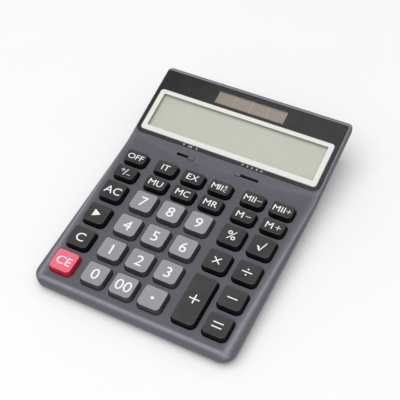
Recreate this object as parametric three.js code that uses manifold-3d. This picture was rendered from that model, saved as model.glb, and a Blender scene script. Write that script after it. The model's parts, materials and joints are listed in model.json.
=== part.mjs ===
// Desk calculator: sprung keys, two slide switches, a solar cell and a button cell behind a door.
// Millimetres, +Z up, +X to the right of the user, +Y away from the user, origin under the middle
// of the case on the desk.

import * as THREE from 'three';
import { mergeVertices } from 'three/addons/utils/BufferGeometryUtils.js';
import Module from 'manifold-3d';

const wasm = await Module();
wasm.setup();

// ---- case ----
const CASE_WIDTH = 152;
const DECK_LENGTH = 131; // along the keypad deck, from the front edge to the crease
const HEAD_LENGTH = 71; // along the head, from the crease to the back edge
const FRONT_HEIGHT = 11.5; // keypad deck above the desk at the front edge
const DECK_SLOPE = THREE.MathUtils.degToRad(4);
const HEAD_SLOPE = THREE.MathUtils.degToRad(14);
const HEAD_UNDERLAP = 2; // the head's plate runs this far under the deck at the crease
const FRONT_CORNER = 10;
const BACK_CORNER = 3.6;
const SQUARE_CORNER = 0.4;
const WALL = 2;
const LID_DEPTH = 3.4; // upper case, from its top face down to the seam
const SEAM_SPARE = 2; // plates start this much deeper, and the seam trims them
const RIM_DROP = 3; // height of the sloped rim
const RIM_ROUND = 0.5; // height of the small chamfer that softens the rim's top edge
const RIM_ROUND_SHARE = 0.78; // where that chamfer starts, as a share of the rim's width
const FRONT_RIM = 3.7; // widths of the sloped rim, seen from above
const SIDE_RIM_FRONT = 5.6;
const SIDE_RIM_BACK = 1.3;
const BACK_RIM = 3;
const SEAM_STEP = 0.4; // the lower case stands in by this much
const TRAY_DEPTH = 7.5; // lower case's side bands end this far below the lid's top face
const TRAY_ROUND = 1.2; // chamfer along the lower edge of the bands
const UNDERSIDE = 1; // underside above the desk
const FLOOR_WALL = 2;
const BELLY_SIDE = { high: 9, middle: 10.5, low: 12.5 }; // belly's sides stand in by this much
const BELLY_END = { high: 1.8, low: 4.2 }; // and its front and back
const BELLY_RISE = { middle: 4.5, high: 8 }; // heights over the underside where those widths are
const GAP = 0.3; // between pieces that meet

// ---- keys ----
const LARGE_KEY = { width: 16.5, length: 15.6, radius: 3.2 };
const SMALL_KEY = { width: 16.2, length: 10.6, radius: 3 };
const COLUMNS = [-58.3, -33.3, -11.3, 10.7, 36.1, 58.3];
const ROWS = { equals: 18.4, one: 39.7, four: 61.3, seven: 83.2, memory: 101.2, second: 116.1 };
const KEY_HEIGHT = 4.5; // top above the deck
const KEY_TAPER = 0.7; // growth on each side from the top to the flange
const KEY_EDGE = 0.4; // chamfer round the top
const KEY_WALL = 1.5;
const KEY_CLEARANCE = 0.35;
const KEY_TRAVEL = 1.6;
const FLANGE_WIDTH = 0.9;
const FLANGE_THICKNESS = 1;
const POST_WIDTH = 3;

// ---- dome mat and circuit board ----
const MAT_THICKNESS = 0.8;
const DOME_HEIGHT = KEY_TRAVEL - 0.2; // a pressed key stops just above the mat
const DOME_RADIUS = 3;
const DOME_TOP_RADIUS = 1.8;
const DOME_SIDES = 8;
const BOARD_THICKNESS = 1.2;
const BOARD_MARGIN = 3; // from the belly's walls
const BOARD_WIDTH = CASE_WIDTH - 2 * (BELLY_SIDE.high + WALL + BOARD_MARGIN);
const BOARD_FRONT = 9; // along the deck
const BOARD_BACK = DECK_LENGTH + 13; // past the crease, under the head
const MAT_BACK = DECK_LENGTH - 7; // short of the crease
const CHIP = { width: 18, length: 16, height: 1.6, corner: 5, u: 20, v: 100 };
const CHIP_INSET = { low: 2.5, middle: 0.8 }; // how the potting narrows as it hangs down

// ---- display ----
const PANEL = { width: CASE_WIDTH - 4.5, start: 10, end: 67, bottomCorner: 5, topCorner: 2 };
const PANEL_THICKNESS = 1;
const PANEL_SINK = 0.3; // panel face below the head's rim
const BEZEL = { width: 142, start: 12.8, end: 49.5, corner: 2.6 };
const BEZEL_RISE = 0.8; // bezel top above the head's rim
const BEZEL_EDGE = 0.5;
const BEZEL_SIDE = 4;
const BEZEL_BOTTOM = 4.3;
const BEZEL_TOP = 3.4;
const GLASS_MARGIN = 2.4; // display cell beyond the bezel's window
const GLASS_THICKNESS = 2.2;
const GLASS_DEPTH = 2.2; // display cell's face below the head's rim
const SOLAR = { width: 56.3, start: 52.5, end: 63.5, thickness: 1.5 };
const RIBBON = { width: 76, thickness: 0.4, overlap: 4, fromEdge: 1 };
const LEAD = { width: 3.2, thickness: 0.7, u: 20, onCell: 3, drop: 6 };
const LEAD_ON_BOARD = { length: 6, past: 3 }; // soldered stretch, and the run past the board's edge

// ---- slide switches, centred on the head's apron ----
const SWITCH_PLACE = 2.8; // from the crease along the head
const KNOB = { width: 4.8, length: 3.2, rise: 1, corner: 0.8, crown: 0.5, crownFrom: 0.6 };
const STEM = { width: 2.4, length: 1.6 };
const SLIDER = { beyond: 3, thickness: 1, below: 1 }; // the switch's foot, under the lid's lower edge
const SWITCHES = [
  { name: 'rounding_switch', rest: -22.3, travel: -10.6 },
  { name: 'decimal_switch', rest: 15.2, travel: 14.9 },
];

// ---- battery ----
const CELL = { radius: 5.8, height: 5.4, x: 0, fromBack: 27.2, canHeight: 4.6, capInset: 1 };
const CUP_WALL = 1.6;
const DOOR = { width: 30, beforeCell: 14, thickness: 1.6 };
const DOOR_TONGUE = { reach: 1.2, thickness: 0.6 };
const DOOR_PAD = { margin: 4, height: 1.6 };
const TONGUE_END = 0.5; // the tongues stop this much short of the door's ends
const CONTACT = { width: 4, thickness: 0.4 };
const LEAF = { flat: 2, tail: 3, reach: 4, lift: 1, tip: 0.8 }; // spring strip over the cell
const SIDE_CONTACT = { foot: 6, bend: 1 };

// ---- feet and screws ----
const FOOT = { radius: 6, proud: UNDERSIDE, sunk: 0.8, x: CASE_WIDTH / 2 - 24, front: 17, back: 32 };
const SCREW = { head: 2.4, headHeight: 1.6, shank: 1.2, length: 8 };
const BOSS_RADIUS = 2.5;
const SLEEVE_WALL = 1.5; // lower case's posts beyond the lid's bosses
const SLEEVE_ROOT = 0.5; // and how deep they start in the floor
const SEAT_WALL = 1.8;
const BLIND_END = 1.8; // solid plastic left above a screw hole
const SCREW_PLACES = [
  { name: 'front_left', x: (COLUMNS[0] + COLUMNS[1]) / 2, deck: 29, joint: 5.9 },
  { name: 'front_right', x: (COLUMNS[3] + COLUMNS[4]) / 2, deck: 29, joint: 5.9 },
  { name: 'back_left', x: 20 - CASE_WIDTH / 2, head: 57, joint: 17 },
  { name: 'back_right', x: CASE_WIDTH / 2 - 20, head: 57, joint: 17 },
];

const SLIVER = 1e-3; // corners closer than this are one corner
const FAR = 600; // longer than anything here, for cutting blocks
const CASE_STEPS = 3; // half the straight steps in a corner's arc
const KEY_STEPS = 1;
const ROUND_STEPS = 12; // sides of a small round
const FINE_STEPS = 24; // and of a larger one

// ---- materials ----
const finish = (color, roughness, metalness = 0) =>
  new THREE.MeshStandardMaterial({ color, roughness, metalness });
const HOUSING = finish(0x66636f, 0.55);
const KEY_BLACK = finish(0x3c3c3c, 0.5);
const KEY_GREY = finish(0x98979a, 0.5);
const KEY_RED = finish(0xe8546f, 0.45);
const PANEL_BLACK = finish(0x2b2b2c, 0.12);
const BEZEL_WHITE = finish(0xe9e6df, 0.35);
const DISPLAY_GREEN = finish(0xc3c9b8, 0.25);
const SOLAR_BROWN = finish(0x8c7b6a, 0.3);
const SILICONE = finish(0xb9bbb8, 0.8);
const BOARD_GREEN = finish(0x2f6b45, 0.6);
const EPOXY = finish(0x17171a, 0.4);
const RUBBER = finish(0x232325, 0.9);
const STEEL = finish(0xb4b6ba, 0.35, 1);
const FILM = finish(0xc98f3c, 0.4);
const CABLE = finish(0xb03030, 0.6);

// ---- solids ----

// Turns a closed geometry into a solid that can be cut and joined.
function solid(geometry) {
  const bare = geometry.clone();
  bare.deleteAttribute('normal');
  bare.deleteAttribute('uv');
  const merged = mergeVertices(bare, 1e-4);
  const vertProperties = new Float32Array(merged.attributes.position.array);
  const triVerts = new Uint32Array(merged.index.array);
  return new wasm.Manifold(new wasm.Mesh({ numProp: 3, vertProperties, triVerts }));
}

// The geometry of a solid, without the slivers that a cut leaves between almost equal corners.
function geometryOf(body) {
  const mesh = body.getMesh();
  const raw = new THREE.BufferGeometry();
  raw.setAttribute('position', new THREE.BufferAttribute(new Float32Array(mesh.vertProperties), 3));
  raw.setIndex(new THREE.BufferAttribute(new Uint32Array(mesh.triVerts), 1));
  const geometry = mergeVertices(raw, SLIVER);
  const corners = geometry.index.array;
  const kept = [];
  for (let first = 0; first < corners.length; first += 3) {
    const [a, b, c] = corners.slice(first, first + 3);
    if (a !== b && b !== c && c !== a) {
      kept.push(a, b, c);
    }
  }
  geometry.setIndex(kept);
  return geometry;
}

const join = (first, ...others) => others.reduce((sum, other) => sum.add(other), first);
const cut = (first, ...others) => others.reduce((rest, other) => rest.subtract(other), first);

// ---- outlines ----

// A four-sided outline, symmetric about x = 0, with its own corner radius front and back.
function outline({ front, back, frontHalf, backHalf, frontRadius, backRadius, steps = CASE_STEPS }) {
  const quarter = Math.PI / 2;
  const shape = new THREE.Shape();
  const corner = (x, y, radius, turn) => shape.absarc(x, y, radius, turn, turn + quarter, false);
  corner(frontHalf - frontRadius, front + frontRadius, frontRadius, -quarter);
  corner(backHalf - backRadius, back - backRadius, backRadius, 0);
  corner(backRadius - backHalf, back - backRadius, backRadius, quarter);
  corner(frontRadius - frontHalf, front + frontRadius, frontRadius, 2 * quarter);
  const points = shape.getPoints(steps);
  return new THREE.Shape(points.filter((point, step) => point.distanceTo(points.at(step - 1)) > 1e-6));
}

function roundedRectangle(width, length, radius, steps = KEY_STEPS, y = 0) {
  return outline({
    front: y - length / 2,
    back: y + length / 2,
    frontHalf: width / 2,
    backHalf: width / 2,
    frontRadius: radius,
    backRadius: radius,
    steps,
  });
}

function rectangle(width, length, x = 0, y = 0) {
  const points = [
    new THREE.Vector2(x - width / 2, y - length / 2),
    new THREE.Vector2(x + width / 2, y - length / 2),
    new THREE.Vector2(x + width / 2, y + length / 2),
    new THREE.Vector2(x - width / 2, y + length / 2),
  ];
  return new THREE.Shape(points);
}

// A straight prism over a shape, between two heights.
function prism(shape, low, high) {
  const options = { depth: high - low, bevelEnabled: false };
  return new THREE.ExtrudeGeometry(shape, options).translate(0, 0, low);
}

function block(width, length, low, high, x = 0, y = 0) {
  return new THREE.BoxGeometry(width, length, high - low).translate(x, y, (low + high) / 2);
}

function rod(radius, low, high, x = 0, y = 0, sides = 16, topRadius = radius) {
  const cylinder = new THREE.CylinderGeometry(topRadius, radius, high - low, sides);
  return cylinder.rotateX(Math.PI / 2).translate(x, y, (low + high) / 2);
}

// A closed skin over a stack of outlines that have the same number of points.
function loft(levels) {
  const rings = levels.map(({ shape, z }) =>
    outlinePoints(shape).map((point) => new THREE.Vector3(point.x, point.y, z)));
  const count = rings[0].length;
  const position = rings.flat().flatMap((point) => point.toArray());
  const cap = THREE.ShapeUtils.triangulateShape(outlinePoints(levels[0].shape), []);
  const top = (rings.length - 1) * count;
  const index = cap.flatMap(([a, b, c]) => [a, c, b, a + top, b + top, c + top]);
  for (let level = 0; level < rings.length - 1; level += 1) {
    for (let step = 0; step < count; step += 1) {
      const a = level * count + step;
      const b = level * count + ((step + 1) % count);
      index.push(a, b, b + count, a, b + count, a + count);
    }
  }
  const geometry = new THREE.BufferGeometry();
  geometry.setAttribute('position', new THREE.Float32BufferAttribute(position, 3));
  geometry.setIndex(index);
  return geometry;
}

// The outline's corners, each once.
function outlinePoints(shape) {
  const points = shape.getPoints(1);
  return points[0].equals(points.at(-1)) ? points.slice(0, -1) : points;
}

// ---- frames: the keypad deck and the head, each with z = 0 on its own face ----

const deckFrame = new THREE.Group();
const headFrame = new THREE.Group();
const lidShift = LID_DEPTH * Math.sin(HEAD_SLOPE);
const depthOnDesk = DECK_LENGTH * Math.cos(DECK_SLOPE) + HEAD_LENGTH * Math.cos(HEAD_SLOPE) + lidShift;
const rimShift = RIM_DROP * Math.sin(DECK_SLOPE);
deckFrame.position.set(0, -(depthOnDesk + rimShift) / 2, FRONT_HEIGHT);
deckFrame.rotation.x = DECK_SLOPE;
deckFrame.updateMatrix();
headFrame.position.set(0, DECK_LENGTH, 0).applyMatrix4(deckFrame.matrix);
headFrame.rotation.x = HEAD_SLOPE;
headFrame.updateMatrix();

const onDeck = (geometry) => solid(geometry.clone().applyMatrix4(deckFrame.matrix));
const onHead = (geometry) => solid(geometry.clone().applyMatrix4(headFrame.matrix));
const deckPoint = (along, above) => new THREE.Vector3(0, along, above).applyMatrix4(deckFrame.matrix);
const headPoint = (along, above) => new THREE.Vector3(0, along, above).applyMatrix4(headFrame.matrix);

const CASE_FRONT = deckPoint(0, -RIM_DROP).y;
const CASE_BACK = headPoint(HEAD_LENGTH, -LID_DEPTH).y;

// ---- keys ----

const KEY_BOTTOM = -WALL - GAP - FLANGE_THICKNESS;

function keyCap({ width, length, radius }) {
  const ring = (grow, z) => ({
    shape: roundedRectangle(width + 2 * grow, length + 2 * grow, radius + grow),
    z,
  });
  const body = loft([
    ring(KEY_TAPER, KEY_BOTTOM + FLANGE_THICKNESS / 2),
    ring(0, KEY_HEIGHT - KEY_EDGE),
    ring(-KEY_EDGE, KEY_HEIGHT),
  ]);
  const flangeGrow = 2 * (KEY_TAPER + FLANGE_WIDTH);
  const flange = block(width + flangeGrow, length + flangeGrow, KEY_BOTTOM, KEY_BOTTOM + FLANGE_THICKNESS);
  const roof = KEY_HEIGHT - KEY_EDGE - KEY_WALL;
  const hollow = block(width - 2 * KEY_WALL, length - 2 * KEY_WALL, KEY_BOTTOM - 1, roof);
  const post = block(POST_WIDTH, POST_WIDTH, KEY_BOTTOM - 2, roof + 1);
  return geometryOf(cut(join(solid(body), solid(flange)), cut(solid(hollow), solid(post))));
}

// Every key: its name, column, row and finish.
function keyList() {
  const row = (place, size, names) =>
    names.map((name, column) => ({ name, u: COLUMNS[column], v: ROWS[place], size }));
  const list = [
    ...row('second', SMALL_KEY, [
      'off', 'item', 'exchange', 'memory2_recall', 'memory2_minus', 'memory2_plus',
    ]),
    ...row('memory', SMALL_KEY, [
      'sign', 'mark_up', 'memory_clear', 'memory_recall', 'memory_minus', 'memory_plus',
    ]),
    ...row('seven', LARGE_KEY, ['all_clear', 'seven', 'eight', 'nine', 'percent', 'root']),
    ...row('four', LARGE_KEY, ['shift', 'four', 'five', 'six', 'multiply', 'divide']),
    ...row('one', LARGE_KEY, ['clear', 'one', 'two', 'three', 'plus', 'minus']),
    ...row('equals', LARGE_KEY, ['clear_entry', 'zero', 'double_zero', 'point', 'plus', 'equals']),
  ];
  const tall = list.filter(({ name }) => name === 'plus');
  const reach = tall[0].v - tall[1].v;
  tall[0].size = { ...LARGE_KEY, length: LARGE_KEY.length + reach };
  tall[0].v -= reach / 2;
  return list.filter((key) => key !== tall[1]);
}

const GREY_KEYS = new Set([
  'one', 'two', 'three', 'four', 'five', 'six', 'seven', 'eight', 'nine', 'zero', 'double_zero', 'point',
]);

function keyMaterial(name) {
  if (name === 'clear_entry') {
    return KEY_RED;
  }
  return GREY_KEYS.has(name) ? KEY_GREY : KEY_BLACK;
}

const KEYS = keyList();

// ---- upper case ----

// A plate of the lid with a sloped rim, in the deck's or the head's own plane.
function slab(front, back, rim, thickness) {
  const half = CASE_WIDTH / 2;
  const level = (share, z) => ({
    shape: outline({
      front: front + rim.front * share,
      back: back - rim.back * share,
      frontHalf: half - rim.sideFront * share,
      backHalf: half - rim.sideBack * share,
      frontRadius: Math.max(rim.frontRadius - rim.front * share, SQUARE_CORNER),
      backRadius: Math.max(rim.backRadius - rim.back * share, SQUARE_CORNER),
    }),
    z,
  });
  return loft([
    level(0, -thickness),
    level(0, -RIM_DROP),
    level(RIM_ROUND_SHARE, -RIM_ROUND),
    level(1, 0),
  ]);
}

// The part of the deck slab that runs on under the head, until the head's lid has passed above it.
const DECK_RUN_ON = LID_DEPTH / Math.tan(HEAD_SLOPE - DECK_SLOPE);
const deckSide = (along) =>
  SIDE_RIM_FRONT + ((SIDE_RIM_BACK - SIDE_RIM_FRONT) * along) / DECK_LENGTH;

const aboveDeckSeam = (drop) => onDeck(block(FAR, FAR, -drop, FAR));
const aboveHeadSeam = (drop) => onHead(block(FAR, FAR, -drop, FAR));

function switchSlot({ rest, travel }) {
  const length = Math.abs(travel) + STEM.width + 2 * GAP;
  return block(length, STEM.length + 2 * GAP, -FAR, FAR, rest + travel / 2, SWITCH_PLACE);
}

const POCKET_FLOOR = -PANEL_SINK - PANEL_THICKNESS - GAP;

// Where a screw boss stands, and the height of its root, half way into the lid's wall.
function bossSpan(place) {
  const headRoot = (POCKET_FLOOR - LID_DEPTH) / 2;
  const root = place.deck === undefined ? headPoint(place.head, headRoot) : deckPoint(place.deck, -WALL / 2);
  return { y: root.y, top: root.z };
}

function upperCase() {
  const deckSlab = slab(0, DECK_LENGTH + DECK_RUN_ON, {
    front: FRONT_RIM,
    back: 0,
    sideFront: SIDE_RIM_FRONT,
    sideBack: deckSide(DECK_LENGTH + DECK_RUN_ON),
    frontRadius: FRONT_CORNER,
    backRadius: 0,
  }, LID_DEPTH + SEAM_SPARE);
  const headSlab = slab(-HEAD_UNDERLAP, HEAD_LENGTH, {
    front: 0,
    back: BACK_RIM,
    sideFront: SIDE_RIM_BACK,
    sideBack: SIDE_RIM_BACK,
    frontRadius: 0,
    backRadius: BACK_CORNER,
  }, LID_DEPTH + SEAM_SPARE);
  const hollowWidth = CASE_WIDTH - 2 * (SIDE_RIM_FRONT + WALL / 2);
  const hollowFront = FRONT_RIM + WALL / 2;
  const hollowLength = DECK_LENGTH - hollowFront;
  const hollow = block(hollowWidth, hollowLength, -FAR, -WALL, 0, hollowFront + hollowLength / 2);
  const openings = KEYS.map(({ u, v, size }) => {
    const grow = 2 * (KEY_TAPER + KEY_CLEARANCE);
    const shape = roundedRectangle(size.width + grow, size.length + grow, size.radius + grow / 2);
    return prism(shape, -WALL - 1, 1).translate(u, v, 0);
  });
  const deckPlate = geometryOf(cut(solid(deckSlab), solid(hollow), ...openings.map(solid)));

  const headCuts = [
    prism(panelOutline(GAP), POCKET_FLOOR, 1),
    prism(glassOutline(GAP), -FAR, 1),
    prism(solarOutline(GAP), -FAR, 1),
  ];
  const headPlate = geometryOf(cut(solid(headSlab), ...headCuts.map(solid)));
  const plates = onDeck(deckPlate)
    .add(onHead(headPlate))
    .intersect(aboveDeckSeam(LID_DEPTH))
    .intersect(aboveHeadSeam(LID_DEPTH));
  const underHead = onHead(prism(glassOutline(GAP), -FAR, -PANEL_SINK));
  const slots = SWITCHES.map((item) => onHead(switchSlot(item)));
  const lid = cut(plates, underHead, ...slots);

  const screwHoles = [];
  const bosses = SCREW_PLACES.map((place) => {
    const { y, top } = bossSpan(place);
    screwHoles.push(solid(rod(SCREW.shank + GAP, place.joint - 1, top - BLIND_END, place.x, y, ROUND_STEPS)));
    return solid(rod(BOSS_RADIUS, place.joint + GAP, top, place.x, y, ROUND_STEPS));
  });
  return geometryOf(cut(join(lid, ...bosses), ...screwHoles));
}

// ---- display panel, bezel, cell, solar cell ----

function panelOutline(grow) {
  const half = PANEL.width / 2 + grow;
  return outline({
    front: PANEL.start - grow,
    back: PANEL.end + grow,
    frontHalf: half,
    backHalf: half,
    frontRadius: PANEL.bottomCorner + grow,
    backRadius: PANEL.topCorner + grow,
  });
}

const WINDOW = {
  width: BEZEL.width - 2 * BEZEL_SIDE,
  start: BEZEL.start + BEZEL_BOTTOM,
  end: BEZEL.end - BEZEL_TOP,
};

function glassOutline(grow) {
  const width = WINDOW.width + 2 * (GLASS_MARGIN + grow);
  const length = WINDOW.end - WINDOW.start + 2 * (GLASS_MARGIN + grow);
  return rectangle(width, length, 0, (WINDOW.start + WINDOW.end) / 2);
}

function solarOutline(grow) {
  const length = SOLAR.end - SOLAR.start + 2 * grow;
  return rectangle(SOLAR.width + 2 * grow, length, 0, (SOLAR.start + SOLAR.end) / 2);
}

function bezel() {
  const middle = (BEZEL.start + BEZEL.end) / 2;
  const ring = (inset, z) => ({
    shape: roundedRectangle(
      BEZEL.width - 2 * inset,
      BEZEL.end - BEZEL.start - 2 * inset,
      BEZEL.corner - inset,
      CASE_STEPS,
      middle,
    ),
    z,
  });
  const body = loft([ring(0, 0), ring(0, BEZEL_RISE - BEZEL_EDGE), ring(BEZEL_EDGE, BEZEL_RISE)]);
  const opening = rectangle(WINDOW.width, WINDOW.end - WINDOW.start, 0, (WINDOW.start + WINDOW.end) / 2);
  return geometryOf(solid(body).subtract(solid(prism(opening, -1, BEZEL_RISE + 1))));
}

// ---- thin bent strips, drawn as a side view and given a width ----

function strip(points, thickness, width, x) {
  const offset = points.map((point, step) => {
    const before = points[Math.max(step - 1, 0)];
    const after = points[Math.min(step + 1, points.length - 1)];
    const along = new THREE.Vector2(after.y - before.y, after.z - before.z).normalize();
    return new THREE.Vector2(-along.y, along.x).multiplyScalar(thickness);
  });
  const near = points.map((point) => new THREE.Vector2(point.y, point.z));
  const far = near.map((point, step) => point.clone().add(offset[step]));
  const side = new THREE.Shape([...near, ...far.reverse()]);
  const geometry = new THREE.ExtrudeGeometry(side, { depth: width, bevelEnabled: false });
  // The side view's x and y become the object's y and z, and the width runs along x.
  const turn = new THREE.Matrix4().makeBasis(
    new THREE.Vector3(0, 1, 0),
    new THREE.Vector3(0, 0, 1),
    new THREE.Vector3(1, 0, 0),
  );
  return geometry.applyMatrix4(turn).translate(x - width / 2, 0, 0);
}

const MAT_TOP = KEY_BOTTOM - GAP - DOME_HEIGHT;
const BOARD_TOP = MAT_TOP - MAT_THICKNESS - GAP;
const BOARD_BOTTOM = BOARD_TOP - BOARD_THICKNESS;

function displayRibbon() {
  const under = -GLASS_DEPTH - GLASS_THICKNESS - GAP;
  const edge = WINDOW.start - GLASS_MARGIN;
  const points = [
    headPoint(edge + RIBBON.overlap, under - RIBBON.thickness),
    headPoint(edge, under - RIBBON.thickness),
    deckPoint(BOARD_BACK - RIBBON.fromEdge, BOARD_TOP + GAP),
    deckPoint(BOARD_BACK - RIBBON.fromEdge - RIBBON.overlap, BOARD_TOP + GAP),
  ];
  const beside = LEAD.u - LEAD.width - RIBBON.width / 2;
  return strip(points.reverse(), RIBBON.thickness, RIBBON.width, beside);
}

function solarLead() {
  const under = -SOLAR.thickness + POCKET_FLOOR - GAP;
  const points = [
    deckPoint(BOARD_BACK - LEAD_ON_BOARD.length, BOARD_BOTTOM - GAP - LEAD.thickness),
    deckPoint(BOARD_BACK + LEAD_ON_BOARD.past, BOARD_BOTTOM - GAP - LEAD.thickness),
    headPoint(SOLAR.start - LEAD.onCell, under - LEAD.drop),
    headPoint(SOLAR.start + LEAD.onCell, under - LEAD.thickness),
    headPoint(SOLAR.start + 2 * LEAD.onCell, under - LEAD.thickness),
  ];
  return strip(points, LEAD.thickness, LEAD.width, LEAD.u);
}

// ---- dome mat and board ----

// The posts are upright on the desk, so they lean in the deck's frame.
function bossClearances() {
  const radius = BOSS_RADIUS + SLEEVE_WALL + GAP;
  const lean = (-BOARD_BOTTOM - WALL / 2) * Math.tan(DECK_SLOPE);
  return SCREW_PLACES.filter(({ deck }) => deck !== undefined)
    .map(({ x, deck }) => solid(rod(radius, -FAR, FAR, x, deck - lean, ROUND_STEPS)));
}

function domeMat() {
  const length = MAT_BACK - BOARD_FRONT;
  const low = MAT_TOP - MAT_THICKNESS;
  const sheet = solid(block(BOARD_WIDTH, length, low, MAT_TOP, 0, BOARD_FRONT + length / 2));
  const sunk = MAT_THICKNESS / 2;
  const domes = KEYS.map(({ u, v }) =>
    solid(rod(DOME_RADIUS, MAT_TOP - sunk, MAT_TOP + DOME_HEIGHT, u, v, DOME_SIDES, DOME_TOP_RADIUS)));
  return geometryOf(cut(join(sheet, ...domes), ...bossClearances()));
}

function circuitBoard() {
  const length = BOARD_BACK - BOARD_FRONT;
  const board = solid(block(BOARD_WIDTH, length, BOARD_BOTTOM, BOARD_TOP, 0, BOARD_FRONT + length / 2));
  return geometryOf(cut(board, ...bossClearances()));
}

function chipCover() {
  const ring = (inset, z) => ({
    shape: roundedRectangle(CHIP.width - 2 * inset, CHIP.length - 2 * inset, CHIP.corner - inset),
    z,
  });
  const high = BOARD_BOTTOM - GAP;
  const low = high - CHIP.height;
  const middle = (low + high) / 2;
  const body = loft([ring(CHIP_INSET.low, low), ring(CHIP_INSET.middle, middle), ring(0, high)]);
  return body.translate(CHIP.u, CHIP.v, 0);
}

// ---- switches ----

function switchKnob() {
  const bottom = -LID_DEPTH - SLIDER.below;
  const ring = (inset, z) => ({
    shape: roundedRectangle(KNOB.width - 2 * inset, KNOB.length - 2 * inset, KNOB.corner - inset / 2),
    z,
  });
  const cap = loft([ring(0, GAP), ring(0, GAP + KNOB.crownFrom), ring(KNOB.crown, GAP + KNOB.rise)]);
  const stem = block(STEM.width, STEM.length, bottom, GAP + KNOB.rise / 2);
  const foot = block(
    STEM.width + SLIDER.beyond,
    STEM.length + SLIDER.beyond,
    bottom - SLIDER.thickness,
    bottom,
  );
  return geometryOf(join(solid(cap), solid(stem), solid(foot)));
}

// ---- lower case ----

// The case seen from above, moved in at the sides and at the ends.
function caseOutline(side, end = side) {
  const half = CASE_WIDTH / 2 - side;
  return outline({
    front: CASE_FRONT + end,
    back: CASE_BACK - end,
    frontHalf: half,
    backHalf: half,
    frontRadius: Math.max(FRONT_CORNER - end, SQUARE_CORNER),
    backRadius: Math.max(BACK_CORNER - end, SQUARE_CORNER),
  });
}

const FLOOR_TOP = UNDERSIDE + FLOOR_WALL;
const TUB_TOP = 60; // well above the seam, which then trims the walls
const above = (drop) => aboveDeckSeam(drop).intersect(aboveHeadSeam(drop));

// The bands under the seam: a shallow tray as deep as the lid's face is steep.
function trayBands(inset, depth) {
  const walls = (more) => prism(caseOutline(inset + more), 0, TUB_TOP);
  const upper = solid(walls(0)).intersect(above(depth - TRAY_ROUND));
  const lower = solid(walls(TRAY_ROUND / 2)).intersect(above(depth - TRAY_ROUND / 2));
  const lowest = solid(walls(TRAY_ROUND)).intersect(above(depth));
  return join(upper, lower, lowest);
}

// The belly that hangs below the tray and stands on the desk.
function belly(inset, low) {
  const level = (side, end, z) => ({ shape: caseOutline(side + inset, end + inset), z });
  return solid(loft([
    level(BELLY_SIDE.low, BELLY_END.low, low),
    level(BELLY_SIDE.middle, BELLY_END.high, UNDERSIDE + BELLY_RISE.middle),
    level(BELLY_SIDE.high, BELLY_END.high, UNDERSIDE + BELLY_RISE.high),
    level(BELLY_SIDE.high, BELLY_END.high, TUB_TOP),
  ]));
}

const DOOR_TOP = UNDERSIDE + DOOR.thickness;
const CELL_Y = CASE_BACK - CELL.fromBack;
const DOOR_START = CELL_Y - DOOR.beforeCell;
const DOOR_END = CASE_BACK - BELLY_END.low;
const PAD_TOP = FLOOR_TOP + DOOR_PAD.height;

function doorRecess() {
  const span = FAR - DOOR_START;
  const middle = (start) => start + span / 2;
  const start = DOOR_START - GAP;
  const well = block(DOOR.width + 2 * GAP, span, -1, DOOR_TOP + GAP, CELL.x, middle(start));
  const grooveLow = DOOR_TOP - DOOR_TONGUE.thickness - GAP;
  const grooveWidth = DOOR.width + 2 * (DOOR_TONGUE.reach + GAP);
  const groove = block(grooveWidth, span, grooveLow, DOOR_TOP + GAP, CELL.x, middle(start));
  return join(solid(well), solid(groove));
}

function lowerCase() {
  const outer = join(trayBands(SEAM_STEP, TRAY_DEPTH), belly(0, UNDERSIDE));
  const inner = join(
    trayBands(SEAM_STEP + WALL, TRAY_DEPTH - WALL),
    belly(WALL, FLOOR_TOP),
  );
  const aboveSeam = above(LID_DEPTH + GAP);

  const padWidth = DOOR.width + 2 * DOOR_PAD.margin;
  const padStart = DOOR_START - DOOR_PAD.margin;
  const padLength = CASE_BACK - WALL - padStart;
  const padLow = UNDERSIDE + FLOOR_WALL / 2;
  const pad = solid(block(padWidth, padLength, padLow, PAD_TOP, CELL.x, padStart + padLength / 2)).intersect(outer);
  const cupTop = DOOR_TOP + GAP + CELL.height;
  const cup = solid(rod(CELL.radius + GAP + CUP_WALL, FLOOR_TOP, cupTop, CELL.x, CELL_Y, FINE_STEPS));
  const sleeveRadius = BOSS_RADIUS + SLEEVE_WALL;
  const sleeveLow = UNDERSIDE + SLEEVE_ROOT;
  const bosses = SCREW_PLACES.map((place) =>
    solid(rod(sleeveRadius, sleeveLow, place.joint, place.x, bossSpan(place).y, ROUND_STEPS)));

  const cellWell = solid(rod(CELL.radius + GAP, -1, cupTop + 1, CELL.x, CELL_Y, FINE_STEPS));
  const contactNotch = solid(
    block(CONTACT.width + 2 * GAP, CUP_WALL * 3, PAD_TOP, cupTop + 1, CELL.x, CELL_Y + CELL.radius + CUP_WALL),
  );
  const footWells = footPlaces().map(({ x, y }) =>
    solid(rod(FOOT.radius + GAP, -1, UNDERSIDE + FOOT.sunk + GAP, x, y, FINE_STEPS)));
  const screwWells = SCREW_PLACES.flatMap((place) => {
    const { y } = bossSpan(place);
    return [
      solid(rod(SCREW.head + GAP, -1, place.joint - SEAT_WALL, place.x, y, ROUND_STEPS)),
      solid(rod(SCREW.shank + GAP, -1, place.joint + 1, place.x, y, ROUND_STEPS)),
    ];
  });
  const tub = cut(outer, inner, aboveSeam);
  return geometryOf(cut(
    join(tub, pad, cup, ...bosses),
    cellWell,
    contactNotch,
    doorRecess(),
    ...footWells,
    ...screwWells,
  ));
}

function footPlaces() {
  const front = CASE_FRONT + FOOT.front;
  const back = CASE_BACK - FOOT.back;
  return [
    { name: 'front_left', x: -FOOT.x, y: front },
    { name: 'front_right', x: FOOT.x, y: front },
    { name: 'back_left', x: -FOOT.x, y: back },
    { name: 'back_right', x: FOOT.x, y: back },
  ];
}

// ---- battery, its contacts and its door ----

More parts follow.
